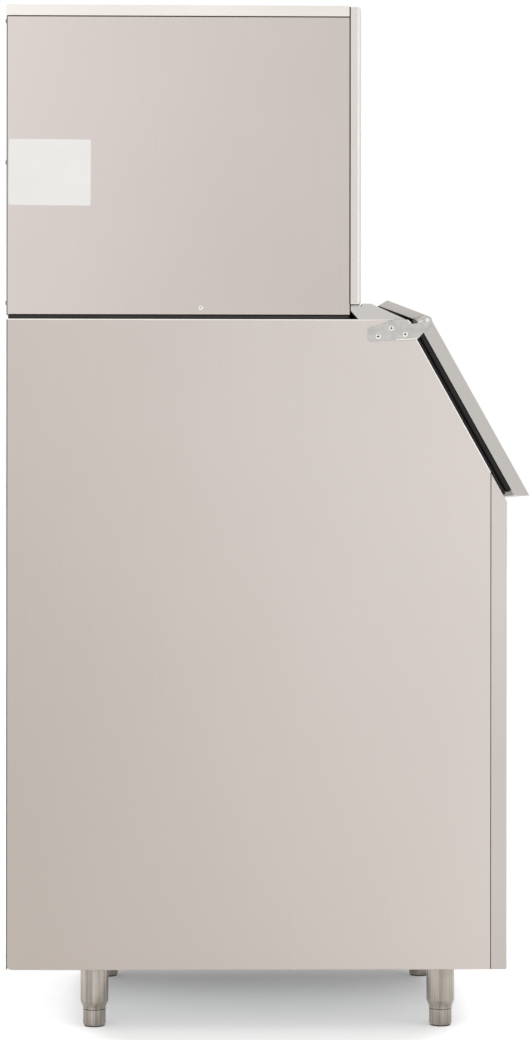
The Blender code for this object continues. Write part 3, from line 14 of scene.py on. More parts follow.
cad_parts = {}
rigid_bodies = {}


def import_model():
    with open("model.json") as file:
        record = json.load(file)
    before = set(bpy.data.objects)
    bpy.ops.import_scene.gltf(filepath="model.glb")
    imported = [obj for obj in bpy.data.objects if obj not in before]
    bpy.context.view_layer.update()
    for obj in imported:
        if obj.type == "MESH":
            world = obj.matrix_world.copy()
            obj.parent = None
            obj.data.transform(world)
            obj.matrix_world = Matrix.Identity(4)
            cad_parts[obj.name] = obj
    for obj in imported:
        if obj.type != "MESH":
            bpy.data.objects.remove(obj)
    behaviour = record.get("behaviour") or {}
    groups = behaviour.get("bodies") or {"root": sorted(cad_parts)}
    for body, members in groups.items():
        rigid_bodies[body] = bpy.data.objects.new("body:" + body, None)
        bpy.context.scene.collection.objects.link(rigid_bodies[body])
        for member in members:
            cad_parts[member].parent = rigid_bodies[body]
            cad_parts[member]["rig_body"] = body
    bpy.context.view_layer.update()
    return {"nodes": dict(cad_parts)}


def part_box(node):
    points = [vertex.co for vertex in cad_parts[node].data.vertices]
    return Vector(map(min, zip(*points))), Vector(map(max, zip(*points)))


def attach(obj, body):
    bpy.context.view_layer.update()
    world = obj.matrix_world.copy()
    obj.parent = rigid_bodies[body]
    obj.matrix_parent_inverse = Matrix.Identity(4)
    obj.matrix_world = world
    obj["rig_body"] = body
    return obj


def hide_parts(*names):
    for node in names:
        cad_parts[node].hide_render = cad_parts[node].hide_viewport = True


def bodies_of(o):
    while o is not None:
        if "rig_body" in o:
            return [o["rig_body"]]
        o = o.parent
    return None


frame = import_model()

# Sizes that the pieces share with the frame
half_width = 0.280
sheet, gap, least_radius = 0.001, 0.0003, 0.0004
bin_bottom_z, bin_top_z = 0.102, 1.175
bin_top_depth, slope_depth, slope_drop = 0.658, 0.168, 0.300
front_return, front_seam = 0.026, 0.0015
head_side_depth, head_bottom_z, head_top_z = 0.566, 1.182, 1.6925
head_side_top_z = 1.674
bracket_length, bracket_height, bracket_sheet = 0.098, 0.0346, 0.0025
pivot_down, pivot_out = 0.0185, 0.0305
rear_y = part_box("bin_rear_panel")[1].y
head_front_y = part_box("head_front_panel")[0].y
slope_angle = math.atan2(slope_drop, slope_depth)
slope_length = math.hypot(slope_drop, slope_depth)
downhill = (0.0, -math.cos(slope_angle), -math.sin(slope_angle))
SIDES = (("left", -1), ("right", 1))
X, Y, Z = (1, 0, 0), (0, 1, 0), (0, 0, 1)


# Shapes: each is an array of points and a list of faces

def grid_shape(points, close_rows=False, close_columns=False):
    """Quads over a grid of points: each joins a point, the next in its row, and the two after them
    in the next row. A closed direction joins its last line of points to its first."""
    rows, columns = points.shape[:2]
    row, column = np.meshgrid(np.arange(rows - (not close_rows)),
                              np.arange(columns - (not close_columns)), indexing="ij")
    next_row, next_column = (row + 1) % rows, (column + 1) % columns
    faces = np.stack([row * columns + column, row * columns + next_column,
                      next_row * columns + next_column, next_row * columns + column], -1)
    return points.reshape(-1, 3), faces.reshape(-1, 4).tolist()


def joined(shapes):
    """Several shapes as one: the faces of each are counted on from the points before it."""
    points, faces, count = [], [], 0
    for shape_points, shape_faces in shapes:
        points.append(shape_points)
        faces += [[corner + count for corner in face] for face in shape_faces]
        count += len(shape_points)
    return np.concatenate(points), faces


def placed(shape, across, up, origin):
    """Local x along one direction, y along another, and z along their cross product."""
    points, faces = shape
    across, up = np.asarray(across, float), np.asarray(up, float)
    axes = np.stack([across, up, np.cross(across, up)])
    return points @ axes + np.asarray(origin, float), faces


def world(x, depth, z):
    """Place at a distance forward of the rear face."""
    return (x, rear_y - depth, z)


def slope_place(down, out):
    """Depth and height of a place down the bin's slope and out from it."""
    return (bin_top_depth + down * math.cos(slope_angle) + out * math.sin(slope_angle),
            bin_top_z - down * math.sin(slope_angle) + out * math.cos(slope_angle))


def filleted(corners, steps=6):
    """Outline of (p, q, radius) corners, each rounded by an arc tangent to its two sides: the arc's
    centre lies on the bisector at radius / sin(half angle) from the corner."""
    corners = np.asarray(corners, float)
    outline = []
    for k in range(len(corners)):
        corner, radius = corners[k, :2], corners[k, 2]
        if radius <= 0:
            outline.append(corner[None])
            continue
        before, after = corners[k - 1, :2] - corner, corners[(k + 1) % len(corners), :2] - corner
        before, after = before / np.hypot(*before), after / np.hypot(*after)
        half = math.acos(np.clip(before @ after, -1, 1)) / 2
        middle = (before + after) / np.hypot(*(before + after))
        centre = corner + middle * radius / math.sin(half)
        side = np.array([-middle[1], middle[0]])
        side *= np.sign(before @ side)
        swing = np.linspace(half - math.pi / 2, math.pi / 2 - half, steps + 1)[:, None]
        outline.append(centre - radius * (np.cos(swing) * middle + np.sin(swing) * side))
    return np.concatenate(outline)


def smooth_loop(controls, steps=5):
    """Closed Catmull-Rom curve: between two controls it is the cubic whose slopes are half the
    difference of the neighbours on either side."""
    p1 = np.asarray(controls, float)
    p0, p2, p3 = np.roll(p1, 1, 0), np.roll(p1, -1, 0), np.roll(p1, -2, 0)
    t = np.linspace(0, 1, steps, endpoint=False)[None, :, None]
    p0, p1, p2, p3 = (p[:, None] for p in (p0, p1, p2, p3))
    curve = 0.5 * (2 * p1 + (p2 - p0) * t + (2 * p0 - 5 * p1 + 4 * p2 - p3) * t ** 2
                   + (3 * p1 - p0 - 3 * p2 + p3) * t ** 3)
    return curve.reshape(-1, curve.shape[-1])


def turned(profile, segments=64):
    """Surface of revolution about local Z: the point (r, h) of the profile goes round as
    (r cos a, r sin a, h) for a full turn of a."""
    radius, height = np.asarray(profile, float).T
    angle = np.linspace(0, math.tau, segments, endpoint=False)
    points = np.stack(np.broadcast_arrays(radius[:, None] * np.cos(angle),
                                          radius[:, None] * np.sin(angle), height[:, None]), -1)
    return grid_shape(points, close_columns=True)


def prism(outline, low, high):
    """An outline in local x and y, drawn up from one height to another, with flat ends."""
    outline = np.asarray(outline, float)
    rings = np.stack([np.column_stack([outline, np.full(len(outline), z)]) for z in (low, high)])
    points, faces = grid_shape(rings, close_columns=True)
    count = len(outline)
    return points, faces + [list(range(count))[::-1], list(range(count, 2 * count))]


def bar(start, end, profile, side_way):
    """A closed profile of (aside, outward) points carried along a straight line between two places:
    aside runs along side_way and outward along the cross product of the line and it."""
    start, end, side_way = (np.asarray(value, float) for value in (start, end, side_way))
    length = np.linalg.norm(end - start)
    outward = np.cross((end - start) / length, side_way)
    return placed(prism(profile, 0.0, length), side_way, outward, start)


def circle(radius, count=16):
    """Outline whose points are (radius cos a, radius sin a) for a full turn of a."""
    turn = np.linspace(0, math.tau, count, endpoint=False)
    return radius * np.column_stack([np.cos(turn), np.sin(turn)])


def rectangle(half_long, half_short, radius=0.0, steps=3):
    """Outline of a rectangle about its middle, its corners rounded."""
    return filleted([(p * half_long, q * half_short, radius)
                     for p, q in ((-1, -1), (1, -1), (1, 1), (-1, 1))], steps)


def ring_about(loop, half_long, half_short, radius, corner_steps=6):
    """A closed profile of (inset, height) points carried round a rounded rectangle: at an inset i the
    rectangle's half sizes and its corner radius are each less by i."""
    inset, height = np.asarray(loop, float).T
    corner = np.maximum(radius - inset, least_radius)[:, None]
    swing = np.linspace(0, math.pi / 2, corner_steps)
    angle = (np.arange(4)[:, None] * math.pi / 2 + swing).reshape(1, -1)
    sign_x = np.repeat([1, -1, -1, 1], corner_steps)
    sign_y = np.repeat([1, 1, -1, -1], corner_steps)
    x = sign_x * (half_long - inset[:, None] - corner) + corner * np.cos(angle)
    y = sign_y * (half_short - inset[:, None] - corner) + corner * np.sin(angle)
    points = np.stack(np.broadcast_arrays(x, y, height[:, None]), -1)
    return grid_shape(points, close_rows=True, close_columns=True)


def cross_screw(radius, height, spokes=40, rings=11):
    """Pan head with a cross recess: at a share r of the radius the dome stands 1 - 0.45 r^4 of its
    height, each arm of the cross sinks by 0.62 between two ramps, and the middle by 0.3 more."""
    fall, arm_depth, pit_depth, pit_share = 0.45, 0.62, 0.3, 0.28
    arm_half, side_ramp, arm_reach, end_ramp = 0.16, 0.06, 0.58, 0.10
    share = np.concatenate([np.linspace(0, 0.62, rings - 4), [0.74, 0.86, 0.95, 1.0]])[:, None]
    angle = np.linspace(0, math.tau, spokes, endpoint=False)
    x, y = share * np.cos(angle), share * np.sin(angle)
    along, aside = np.maximum(np.abs(x), np.abs(y)), np.minimum(np.abs(x), np.abs(y))
    arm = np.clip((arm_half - aside) / side_ramp, 0, 1) * np.clip((arm_reach - along) / end_ramp, 0, 1)
    top = height * (1 - fall * share ** 4) - height * arm_depth * arm
    top = top - height * pit_depth * (share < pit_share)
    head = np.stack([radius * x, radius * y, top], -1)
    skirt = head[-1:] * [1, 1, 0] + [0, 0, -height * 0.3]
    return grid_shape(np.concatenate([head, skirt]), close_columns=True)


def louvre_hood(length, drop, reach, columns=19, rows=7):
    """Pressed hood open at its lower edge: down its height t it stands out by reach * sin(t * 90 deg),
    and towards its ends that falls off as 1 - |s|^5, and its drop to 0.35 of itself."""
    s = np.sin(np.linspace(-math.pi / 2, math.pi / 2, columns))[None, :]
    t = np.linspace(0, 1, rows)[:, None]
    ends = 1 - np.abs(s) ** 5
    out = reach * np.sin(t * math.pi / 2) * ends
    down = -drop * t * (0.35 + 0.65 * ends)
    points = np.stack(np.broadcast_arrays(s * length / 2, down, out), -1)
    return grid_shape(points)


# Finishes

def linear(red, green, blue):
    """A colour as seen, 0 to 255, in the shader's linear values."""
    seen = np.array([red, green, blue]) / 255
    return tuple(np.where(seen <= 0.04045, seen / 12.92, ((seen + 0.055) / 1.055) ** 2.4)) + (1.0,)


def lay(tree, kind, joins=None, **settings):
    """Lays one shader node. Settings are its own, each join is a socket to link or a value to set."""
    node = tree.nodes.new("ShaderNode" + kind)
    for key, value in settings.items():
        setattr(node, key, value)
    for key, value in (joins or {}).items():
        if isinstance(value, bpy.types.NodeSocket):
            tree.links.new(value, node.inputs[key])
        else:
            node.inputs[key].default_value = value
    return node


def reckon(tree, operation, a, b=0.0, c=0.0):
    """One sum of one, two or three numbers."""
    return lay(tree, "Math", {0: a, 1: b, 2: c}, operation=operation).outputs[0]


def spread(tree, value, low, high, to_low=0.0, to_high=1.0):
    """A number between two bounds, drawn out smoothly to two others."""
    return lay(tree, "MapRange", {0: value, 1: low, 2: high, 3: to_low, 4: to_high},
               interpolation_type="SMOOTHSTEP").outputs[0]


def blended(tree, share, first, second):
    """Colour between two colours."""
    return lay(tree, "Mix", {0: share, 6: first, 7: second}, data_type="RGBA").outputs[2]


def noise(tree, vector, scale, detail=2.0, roughness=0.5):
    """Smooth noise between 0 and 1."""
    return lay(tree, "TexNoise", {"Vector": vector, "Scale": scale, "Detail": detail,
                                            "Roughness": roughness}).outputs["Fac"]


def reckon_vector(tree, operation, a, b=(0.0, 0.0, 0.0), c=(0.0, 0.0, 0.0)):
    """One sum of one, two or three vectors. A length and a dot product are numbers."""
    node = lay(tree, "VectorMath", {0: a, 1: b, 2: c}, operation=operation)
    return node.outputs["Value" if operation in ("DOT_PRODUCT", "LENGTH") else "Vector"]


def stretched(tree, vector, by):
    """A place with each of its directions multiplied."""
    return reckon_vector(tree, "MULTIPLY", vector, by)


def new_effect(name, outputs=("Shade", "Height"), **inputs):
    """An empty effect group: it takes a place as its Vector and has the named inputs and outputs."""
    group = bpy.data.node_groups.new(name, "ShaderNodeTree")
    for word, value in {"Vector": (0.0, 0.0, 0.0), **inputs}.items():
        kind = "NodeSocketVector" if isinstance(value, tuple) else "NodeSocketFloat"
        group.interface.new_socket(word, in_out="INPUT", socket_type=kind).default_value = value
    for word in outputs:
        group.interface.new_socket(word, in_out="OUTPUT", socket_type="NodeSocketFloat")
    entry, leaving = group.nodes.new("NodeGroupInput"), group.nodes.new("NodeGroupOutput")
    return group, entry.outputs["Vector"], entry.outputs, leaving.inputs


def give(group, out, *results):
    """Links results to the outputs of their group, in order."""
    for socket, target in zip(results, out):
        group.links.new(socket, target)
    return group


def brushed_grain():
    """Long fine lines: noise whose place is stretched far more across the grain than along it."""
    group, place, given, out = new_effect("brushed grain", Stretch=(700.0, 700.0, 9.0))
    lines = stretched(group, place, given["Stretch"])
    coarse = noise(group, lines, 0.35, 2.0, 0.6)
    fine = noise(group, lines, 1.6, 3.0, 0.7)
    shade = reckon(group, "MULTIPLY_ADD", fine, 0.55, reckon(group, "MULTIPLY", coarse, 0.45))
    return give(group, out, spread(group, shade, 0.32, 0.68), fine)


def soft_clouds():
    """Wide soft unevenness, for handling marks and slight waviness of sheet."""
    group, place, given, out = new_effect("soft clouds", Scale=4.0)
    cloud = noise(group, place, given["Scale"], 3.0, 0.45)
    return give(group, out, spread(group, cloud, 0.3, 0.7), cloud)


def fine_scratches():
    """Sparse hairline scratches: thin level lines of two turned and stretched noises."""
    group, place, given, out = new_effect("fine scratches", Scale=6.0)
    level, half_line = 0.62, 0.004
    marks = None
    for turn, by in ((0.5, (1.0, 9.0, 60.0)), (1.9, (8.0, 45.0, 5.0))):
        swung = lay(group, "VectorRotate",
                    {"Vector": place, "Axis": (1.0, 0.0, 0.0), "Angle": turn},
                    rotation_type="AXIS_ANGLE").outputs[0]
        field = noise(group, stretched(group, swung, by), given["Scale"], 1.0, 0.4)
        distance = reckon(group, "ABSOLUTE", reckon(group, "SUBTRACT", field, level))
        line = spread(group, distance, half_line, 0.0)
        marks = line if marks is None else reckon(group, "MAXIMUM", marks, line)
    return give(group, out, marks, reckon(group, "SUBTRACT", 1.0, marks))


def moulded_stipple():
    """Fine stipple of a spark-eroded mould, with slow shading from the flow of the plastic."""
    group, place, given, out = new_effect("moulded stipple", Scale=900.0)
    cells = lay(group, "TexVoronoi", {"Vector": place, "Scale": given["Scale"]},
                feature="SMOOTH_F1").outputs["Distance"]
    flow = noise(group, place, reckon(group, "MULTIPLY", given["Scale"], 0.012), 2.0)
    return give(group, out, spread(group, flow, 0.3, 0.7), cells)


def zinc_spangle():
    """Crystals of hot-dip zinc: each cell of a broken-up pattern has its own even tone."""
    group, place, given, out = new_effect("zinc spangle", Scale=90.0)
    shift = lay(group, "TexNoise", {"Vector": place, "Scale": 60.0})
    place = reckon_vector(group, "MULTIPLY_ADD", shift.outputs["Color"], (0.02, 0.02, 0.02), place)
    cell = lay(group, "TexVoronoi", {"Vector": place, "Scale": given["Scale"]})
    tone = lay(group, "SeparateColor", {0: cell.outputs["Color"]}).outputs[0]
    feather = noise(group, place, 420.0, 2.0)
    shade = reckon(group, "MULTIPLY_ADD", feather, 0.3, reckon(group, "MULTIPLY", tone, 0.7))
    return give(group, out, shade, feather)


def edge_glint_and_wear():
    """Mask of edges lightened as a painted highlight and partly as rubbed wear: where a rounded normal
    of the given width leaves the true one, broken up by noise."""
    group, place, given, out = new_effect("edge glint and wear", ("Mask",), Width=0.0012)
    round_normal = lay(group, "Bevel", {"Radius": given["Width"]}, samples=4).outputs[0]
    true_normal = lay(group, "NewGeometry").outputs["Normal"]
    edge = spread(group, reckon_vector(group, "DOT_PRODUCT", round_normal, true_normal), 0.995, 0.86)
    patches = spread(group, noise(group, place, 70.0, 3.0), 0.38, 0.62, 0.35, 1.0)
    return give(group, out, reckon(group, "MULTIPLY", edge, patches))


def settled_dust():
    """Mask of dust on faces that look up, thicker in soft patches."""
    group, place, given, out = new_effect("settled dust", ("Mask",), Scale=14.0)
    normal = lay(group, "NewGeometry").outputs["Normal"]
    upward = lay(group, "SeparateXYZ", {0: normal}).outputs["Z"]
    patches = spread(group, noise(group, place, given["Scale"], 4.0, 0.6), 0.35, 0.75)
    return give(group, out, reckon(group, "MULTIPLY", spread(group, upward, 0.55, 0.95), patches))


def painted_light_gradient():
    """Painted light and shade: a slow change of tone across a sheet, lighter towards one side as if lit
    from there: half, plus the place's distance from a middle measured along a direction."""
    group, place, given, out = new_effect("painted light gradient", Middle=(0.0, 0.0, 0.0),
                                          Direction=(0.0, 0.0, 0.0))
    offset = reckon_vector(group, "SUBTRACT", place, given["Middle"])
    along = reckon_vector(group, "DOT_PRODUCT", offset, given["Direction"])
    return give(group, out, reckon(group, "ADD", along, 0.5), along)


GRAIN, CLOUDS, SCRATCHES = brushed_grain(), soft_clouds(), fine_scratches()
STIPPLE, SPANGLE, EDGE_GLINT_AND_WEAR, DUST = moulded_stipple(), zinc_spangle(), edge_glint_and_wear(), settled_dust()
PAINTED_LIGHT_GRADIENT = painted_light_gradient()
glint_and_wear_roughness, dust_roughness, dust_colour = -0.15, 0.35, (188, 183, 174)


def lay_effect(tree, effect, place, **inputs):
    """Lays an effect group over a place."""
    return lay(tree, "Group", {"Vector": place, **inputs}, node_tree=effect)


def new_material(name):
    """A new material, its node tree and its shader."""
    material = bpy.data.materials.new(name)
    material.use_nodes = True
    return material, material.node_tree, material.node_tree.nodes["Principled BSDF"]


def new_finish(name, slot, light, dark, rough, metallic, patterns, rub=None, dust=0.0, **plain):
    """A finish: a material and its slot. Each pattern is (effect, its scale, stretch or inputs, share
    in the colour, share in the roughness, relief in metres): the colour runs from dark to light and the
    roughness round its middle with the sum of the shares. Glint_and_wear is (colour, width, share) for
    edges lightened as a painted highlight and partly as rubbed wear, and dust the share of dust on
    upward faces."""
    material, tree, shader = new_material(name)
    place = lay(tree, "TexCoord").outputs["Object"]
    tone, roughness, normal = 0.5, rough, None
    for effect, inputs, colour_share, rough_share, relief in patterns:
        if not isinstance(inputs, dict):
            inputs = {"Stretch" if isinstance(inputs, tuple) else "Scale": inputs}
        node = lay_effect(tree, effect, place, **inputs)
        centred = reckon(tree, "SUBTRACT", node.outputs["Shade"], 0.5)
        tone = reckon(tree, "MULTIPLY_ADD", centred, colour_share, tone)
        if rough_share:
            roughness = reckon(tree, "MULTIPLY_ADD", centred, rough_share, roughness)
        if relief:
            joins = {"Height": node.outputs["Height"], "Distance": relief, "Strength": 1.0}
            if normal:
                joins["Normal"] = normal
            normal = lay(tree, "Bump", joins).outputs[0]
    colour = blended(tree, tone, linear(*dark), linear(*light))
    # Edges lightened as a painted highlight, partly rubbed wear, and made smoother
    if rub:
        glint_and_wear_colour, width, share = rub
        mask = lay_effect(tree, EDGE_GLINT_AND_WEAR, place, Width=width).outputs["Mask"]
        mask = reckon(tree, "MULTIPLY", mask, share)
        colour = blended(tree, mask, colour, linear(*glint_and_wear_colour))
        roughness = reckon(tree, "MULTIPLY_ADD", mask, glint_and_wear_roughness, roughness)
    if dust:
        mask = reckon(tree, "MULTIPLY", lay_effect(tree, DUST, place).outputs["Mask"], dust)
        colour = blended(tree, mask, colour, linear(*dust_colour))
        roughness = reckon(tree, "MULTIPLY_ADD", mask, dust_roughness, roughness)
    roughness = reckon(tree, "MINIMUM", reckon(tree, "MAXIMUM", roughness, 0.05), 1.0)
    tree.links.new(colour, shader.inputs["Base Color"])
    tree.links.new(roughness, shader.inputs["Roughness"])
    if normal:
        tree.links.new(normal, shader.inputs["Normal"])
    shader.inputs["Metallic"].default_value = metallic
    for key, value in plain.items():
        socket = key.replace("_", " ").title().replace("Ior", "IOR")
        shader.inputs[socket].default_value = value
    return material, slot


# The way that a grain runs: its stretch is least along its lines
UPRIGHT, LEVEL, LENGTHWISE = (900.0, 900.0, 7.0), (9.0, 900.0, 900.0), (900.0, 9.0, 900.0)
side_patterns = [(GRAIN, UPRIGHT, 0.08, 0.07, 4e-6), (CLOUDS, 2.2, 0.08, 0.04, 3e-5),
                 (SCRATCHES, 5.0, 0.05, -0.04, 3e-6)]

# The side and front sheets carry a painted light gradient: the bin's side darker towards its lower
# rear, the head's side lighter towards its upper rear, the front sheets lighter upwards.
bin_side_steel = new_finish(
    "brushed stainless bin side", "stainless_panel", (216, 208, 204), (184, 175, 168), 0.38, 1.0,
    [(PAINTED_LIGHT_GRADIENT, {"Middle": (0.0, 0.0, 0.65), "Direction": (0.0, -0.8, 0.40)}, 1.0, 0.0, 0.0),
     *side_patterns], rub=((238, 233, 229), 0.0012, 0.5))
head_side_steel = new_finish(
    "brushed stainless head side", "stainless_panel", (219, 211, 208), (186, 177, 171), 0.38, 1.0,
    [(PAINTED_LIGHT_GRADIENT, {"Middle": (0.0, 0.08, 1.45), "Direction": (0.0, 0.5, 0.2)}, 1.0, 0.0, 0.0),
     *side_patterns], rub=((238, 233, 229), 0.0012, 0.5))
front_steel = new_finish(
    "brushed stainless front sheet", "stainless_panel", (226, 220, 216), (190, 182, 177), 0.36, 1.0,
    [(PAINTED_LIGHT_GRADIENT, {"Middle": (0.0, 0.0, 1.0), "Direction": (0.0, 0.0, 0.5)}, 1.0, 0.0, 0.0),
     (GRAIN, UPRIGHT, 0.08, 0.08, 4e-6), (CLOUDS, 2.6, 0.15, 0.05, 8e-5),
     (SCRATCHES, 6.0, 0.06, -0.05, 3e-6)], rub=((228, 225, 220), 0.0012, 0.5))
door_steel = new_finish(
    "brushed stainless door pan", "stainless_panel", (200, 196, 191), (182, 178, 173), 0.35, 1.0,
    [(GRAIN, LEVEL, 0.18, 0.08, 4e-6), (CLOUDS, 3.0, 0.25, 0.05, 6e-5),
     (SCRATCHES, 7.0, 0.05, -0.05, 2e-6)], rub=((230, 228, 224), 0.0012, 0.6))
trim_steel = new_finish(
    "stainless mouth trim", "stainless_panel", (206, 203, 199), (188, 185, 181), 0.36, 1.0,
    [(GRAIN, LEVEL, 0.15, 0.07, 4e-6), (CLOUDS, 5.0, 0.25, 0.04, 6e-5)],
    rub=((232, 230, 226), 0.0012, 0.6))
# Beads and folds lightened far above the sheets, as a painted highlight along bent edges.
highlight_steel = new_finish(
    "bright folded edge", "stainless_panel", (248, 245, 241), (228, 225, 221), 0.26, 1.0,
    [(CLOUDS, 12.0, 0.30, 0.08, 1e-5)], rub=((250, 248, 246), 0.0006, 0.4))
top_steel = new_finish(
    "bright top sheet", "bright_edge", (241, 237, 231), (222, 218, 212), 0.40, 1.0,
    [(GRAIN, LENGTHWISE, 0.15, 0.06, 4e-6), (CLOUDS, 3.0, 0.30, 0.05, 1e-4)],
    rub=((250, 248, 244), 0.0010, 0.5), dust=0.10)
zinc_sheet = new_finish(
    "zinc coated sheet", "zinc_sheet", (192, 194, 194), (150, 153, 154), 0.42, 1.0,
    [(SPANGLE, 85.0, 0.55, 0.16, 6e-6), (CLOUDS, 4.0, 0.30, 0.08, 8e-5)],
    rub=((214, 215, 214), 0.0010, 0.6), dust=0.25)
hinge_steel = new_finish(
    "polished hinge steel", "polished_steel", (208, 207, 203), (184, 183, 179), 0.22, 1.0,
    [(CLOUDS, 90.0, 0.45, 0.12, 1e-5), (SCRATCHES, 22.0, 0.12, 0.10, 2e-6)],
    rub=((244, 243, 240), 0.0009, 0.8))
# Screw and pin heads lightened to near white, as a painted highlight.
highlight_screw_steel = new_finish(
    "screw steel lightened as painted highlight", "polished_steel", (246, 244, 240), (212, 210, 206), 0.18, 1.0,
    [(CLOUDS, 260.0, 0.45, 0.12, 1e-5)], rub=((240, 238, 235), 0.0005, 0.6))
# Rear screw heads darkened as painted shade, for the shadow they sit in.
shade_darkened_screw_steel = new_finish(
    "screw steel darkened as painted shade", "black_plastic", (92, 90, 86), (58, 56, 54), 0.34, 1.0,
    [(CLOUDS, 260.0, 0.45, 0.12, 1e-5)], rub=((170, 167, 160), 0.0006, 0.5))
# The legs carry a painted light gradient, darker towards the floor, and coarse upright bands at colour
# share 0.95 that are painted reflections.
leg_metal = new_finish(
    "satin turned leg", "leg_steel", (189, 181, 172), (132, 126, 118), 0.20, 1.0,
    [(PAINTED_LIGHT_GRADIENT, {"Middle": (0.0, 0.0, 0.06), "Direction": (0.0, 0.0, 2.8)}, 1.0, 0.0, 0.0),
     (GRAIN, (130.0, 130.0, 2.5), 0.95, 0.06, 0.0), (GRAIN, (6.0, 6.0, 1500.0), 0.12, 0.08, 2e-6),
     (CLOUDS, 26.0, 0.20, 0.06, 2e-5)], rub=((222, 218, 210), 0.0006, 0.5), dust=0.1)
tub_plastic = new_finish(
    "moulded bin liner plastic", "white_plastic", (238, 239, 238), (222, 224, 224), 0.38, 0.0,
    [(STIPPLE, 700.0, 0.10, 0.05, 1.5e-5), (CLOUDS, 7.0, 0.30, 0.10, 2e-4),
     (SCRATCHES, 9.0, -0.25, 0.15, 6e-6)], coat_weight=0.15, coat_roughness=0.25)
door_plastic = new_finish(
    "formed door liner plastic", "white_plastic", (236, 236, 233), (218, 218, 214), 0.42, 0.0,
    [(STIPPLE, 900.0, 0.12, 0.06, 1.5e-5), (CLOUDS, 9.0, 0.25, 0.08, 2e-4)],
    rub=((244, 244, 242), 0.0012, 0.4))
milky_plastic = new_finish(
    "moulded water part plastic", "white_plastic", (231, 233, 231), (208, 211, 210), 0.34, 0.0,
    [(STIPPLE, 1100.0, 0.12, 0.06, 1e-5), (CLOUDS, 18.0, 0.35, 0.10, 1e-4)],
    subsurface_weight=0.08)
gasket_rubber = new_finish(
    "door gasket rubber", "black_rubber", (30, 27, 25), (14, 12, 12), 0.50, 0.0,
    [(GRAIN, (12.0, 500.0, 500.0), 0.25, 0.12, 1e-5), (CLOUDS, 30.0, 0.5, 0.14, 1e-4)],
    rub=((92, 88, 84), 0.0010, 0.35), dust=0.03, specular_ior_level=0.28)
# Used for the real head seal, and for dark strips that are painted shade in gaps and under the door's
# lip.
seal_and_shade_rubber = new_finish(
    "sponge seal rubber and painted shade", "black_rubber", (46, 42, 40), (28, 26, 25), 0.68, 0.0,
    [(STIPPLE, 1400.0, 0.30, 0.15, 1e-4), (CLOUDS, 24.0, 0.5, 0.14, 3e-4)])
grip_rubber = new_finish(
    "foot pad rubber", "leg_steel", (44, 43, 42), (26, 25, 25), 0.62, 0.0,
    [(STIPPLE, 1200.0, 0.30, 0.12, 5e-5)], rub=((90, 88, 85), 0.0010, 0.5))
black_moulding = new_finish(
    "satin black moulding", "black_plastic", (38, 38, 40), (24, 24, 26), 0.40, 0.0,
    [(STIPPLE, 1300.0, 0.25, 0.12, 3e-5), (CLOUDS, 22.0, 0.4, 0.10, 5e-5)],
    rub=((74, 74, 76), 0.0009, 0.5), dust=0.12)
grey_moulding = new_finish(
    "grey moulding", "grey_plastic", (150, 153, 156), (124, 127, 131), 0.42, 0.0,
    [(STIPPLE, 1200.0, 0.25, 0.10, 3e-5), (CLOUDS, 30.0, 0.35, 0.08, 4e-5)],
    rub=((178, 180, 182), 0.0008, 0.5))
foam_block = new_finish(
    "poured insulation foam", "insulation_foam", (226, 205, 148), (196, 170, 108), 0.88, 0.0,
    [(STIPPLE, 420.0, 0.45, 0.08, 5e-4), (CLOUDS, 16.0, 0.6, 0.05, 2e-3)])
nickel = new_finish(
    "bright nickel plate", "nickel_plate", (216, 210, 198), (176, 169, 156), 0.20, 1.0,
    [(CLOUDS, 40.0, 0.5, 0.14, 4e-5), (SPANGLE, 500.0, 0.25, 0.10, 4e-6)],
    rub=((236, 232, 224), 0.0008, 0.6))
copper = new_finish(
    "drawn copper tube", "copper_tube", (212, 134, 98), (158, 88, 60), 0.26, 1.0,
    [(CLOUDS, 55.0, 0.7, 0.18, 3e-5), (SCRATCHES, 30.0, 0.25, 0.10, 4e-6)])
fin_stock = new_finish(
    "aluminium fin stock", "aluminium_fin", (206, 208, 210), (158, 161, 164), 0.34, 1.0,
    [(GRAIN, (900.0, 30.0, 30.0), 0.35, 0.12, 1e-5), (CLOUDS, 30.0, 0.4, 0.10, 4e-5)], dust=0.35)
enamel = new_finish(
    "black enamel", "black_enamel", (34, 34, 35), (20, 20, 21), 0.28, 0.0,
    [(CLOUDS, 60.0, 0.4, 0.12, 1e-4), (STIPPLE, 260.0, 0.2, 0.06, 6e-5)],
    rub=((86, 84, 80), 0.0012, 0.5), dust=0.25, coat_weight=0.35, coat_roughness=0.18)
brass = new_finish(
    "turned brass", "brass", (214, 178, 102), (164, 126, 60), 0.24, 1.0,
    [(GRAIN, (40.0, 900.0, 40.0), 0.30, 0.10, 6e-6), (CLOUDS, 60.0, 0.5, 0.14, 2e-5)],
    rub=((236, 208, 142), 0.0007, 0.6))
film = new_finish(
    "blank white film", "white_plastic", (254, 252, 248), (246, 244, 240), 0.36, 0.0,
    [(CLOUDS, 26.0, 0.30, 0.10, 6e-5)], coat_weight=0.2, coat_roughness=0.3)
smoked_glass = new_finish(
    "smoked display window", "black_plastic", (20, 22, 26), (10, 11, 14), 0.10, 0.0,
    [(CLOUDS, 40.0, 0.4, 0.06, 0.0)], coat_weight=0.6, coat_roughness=0.06)

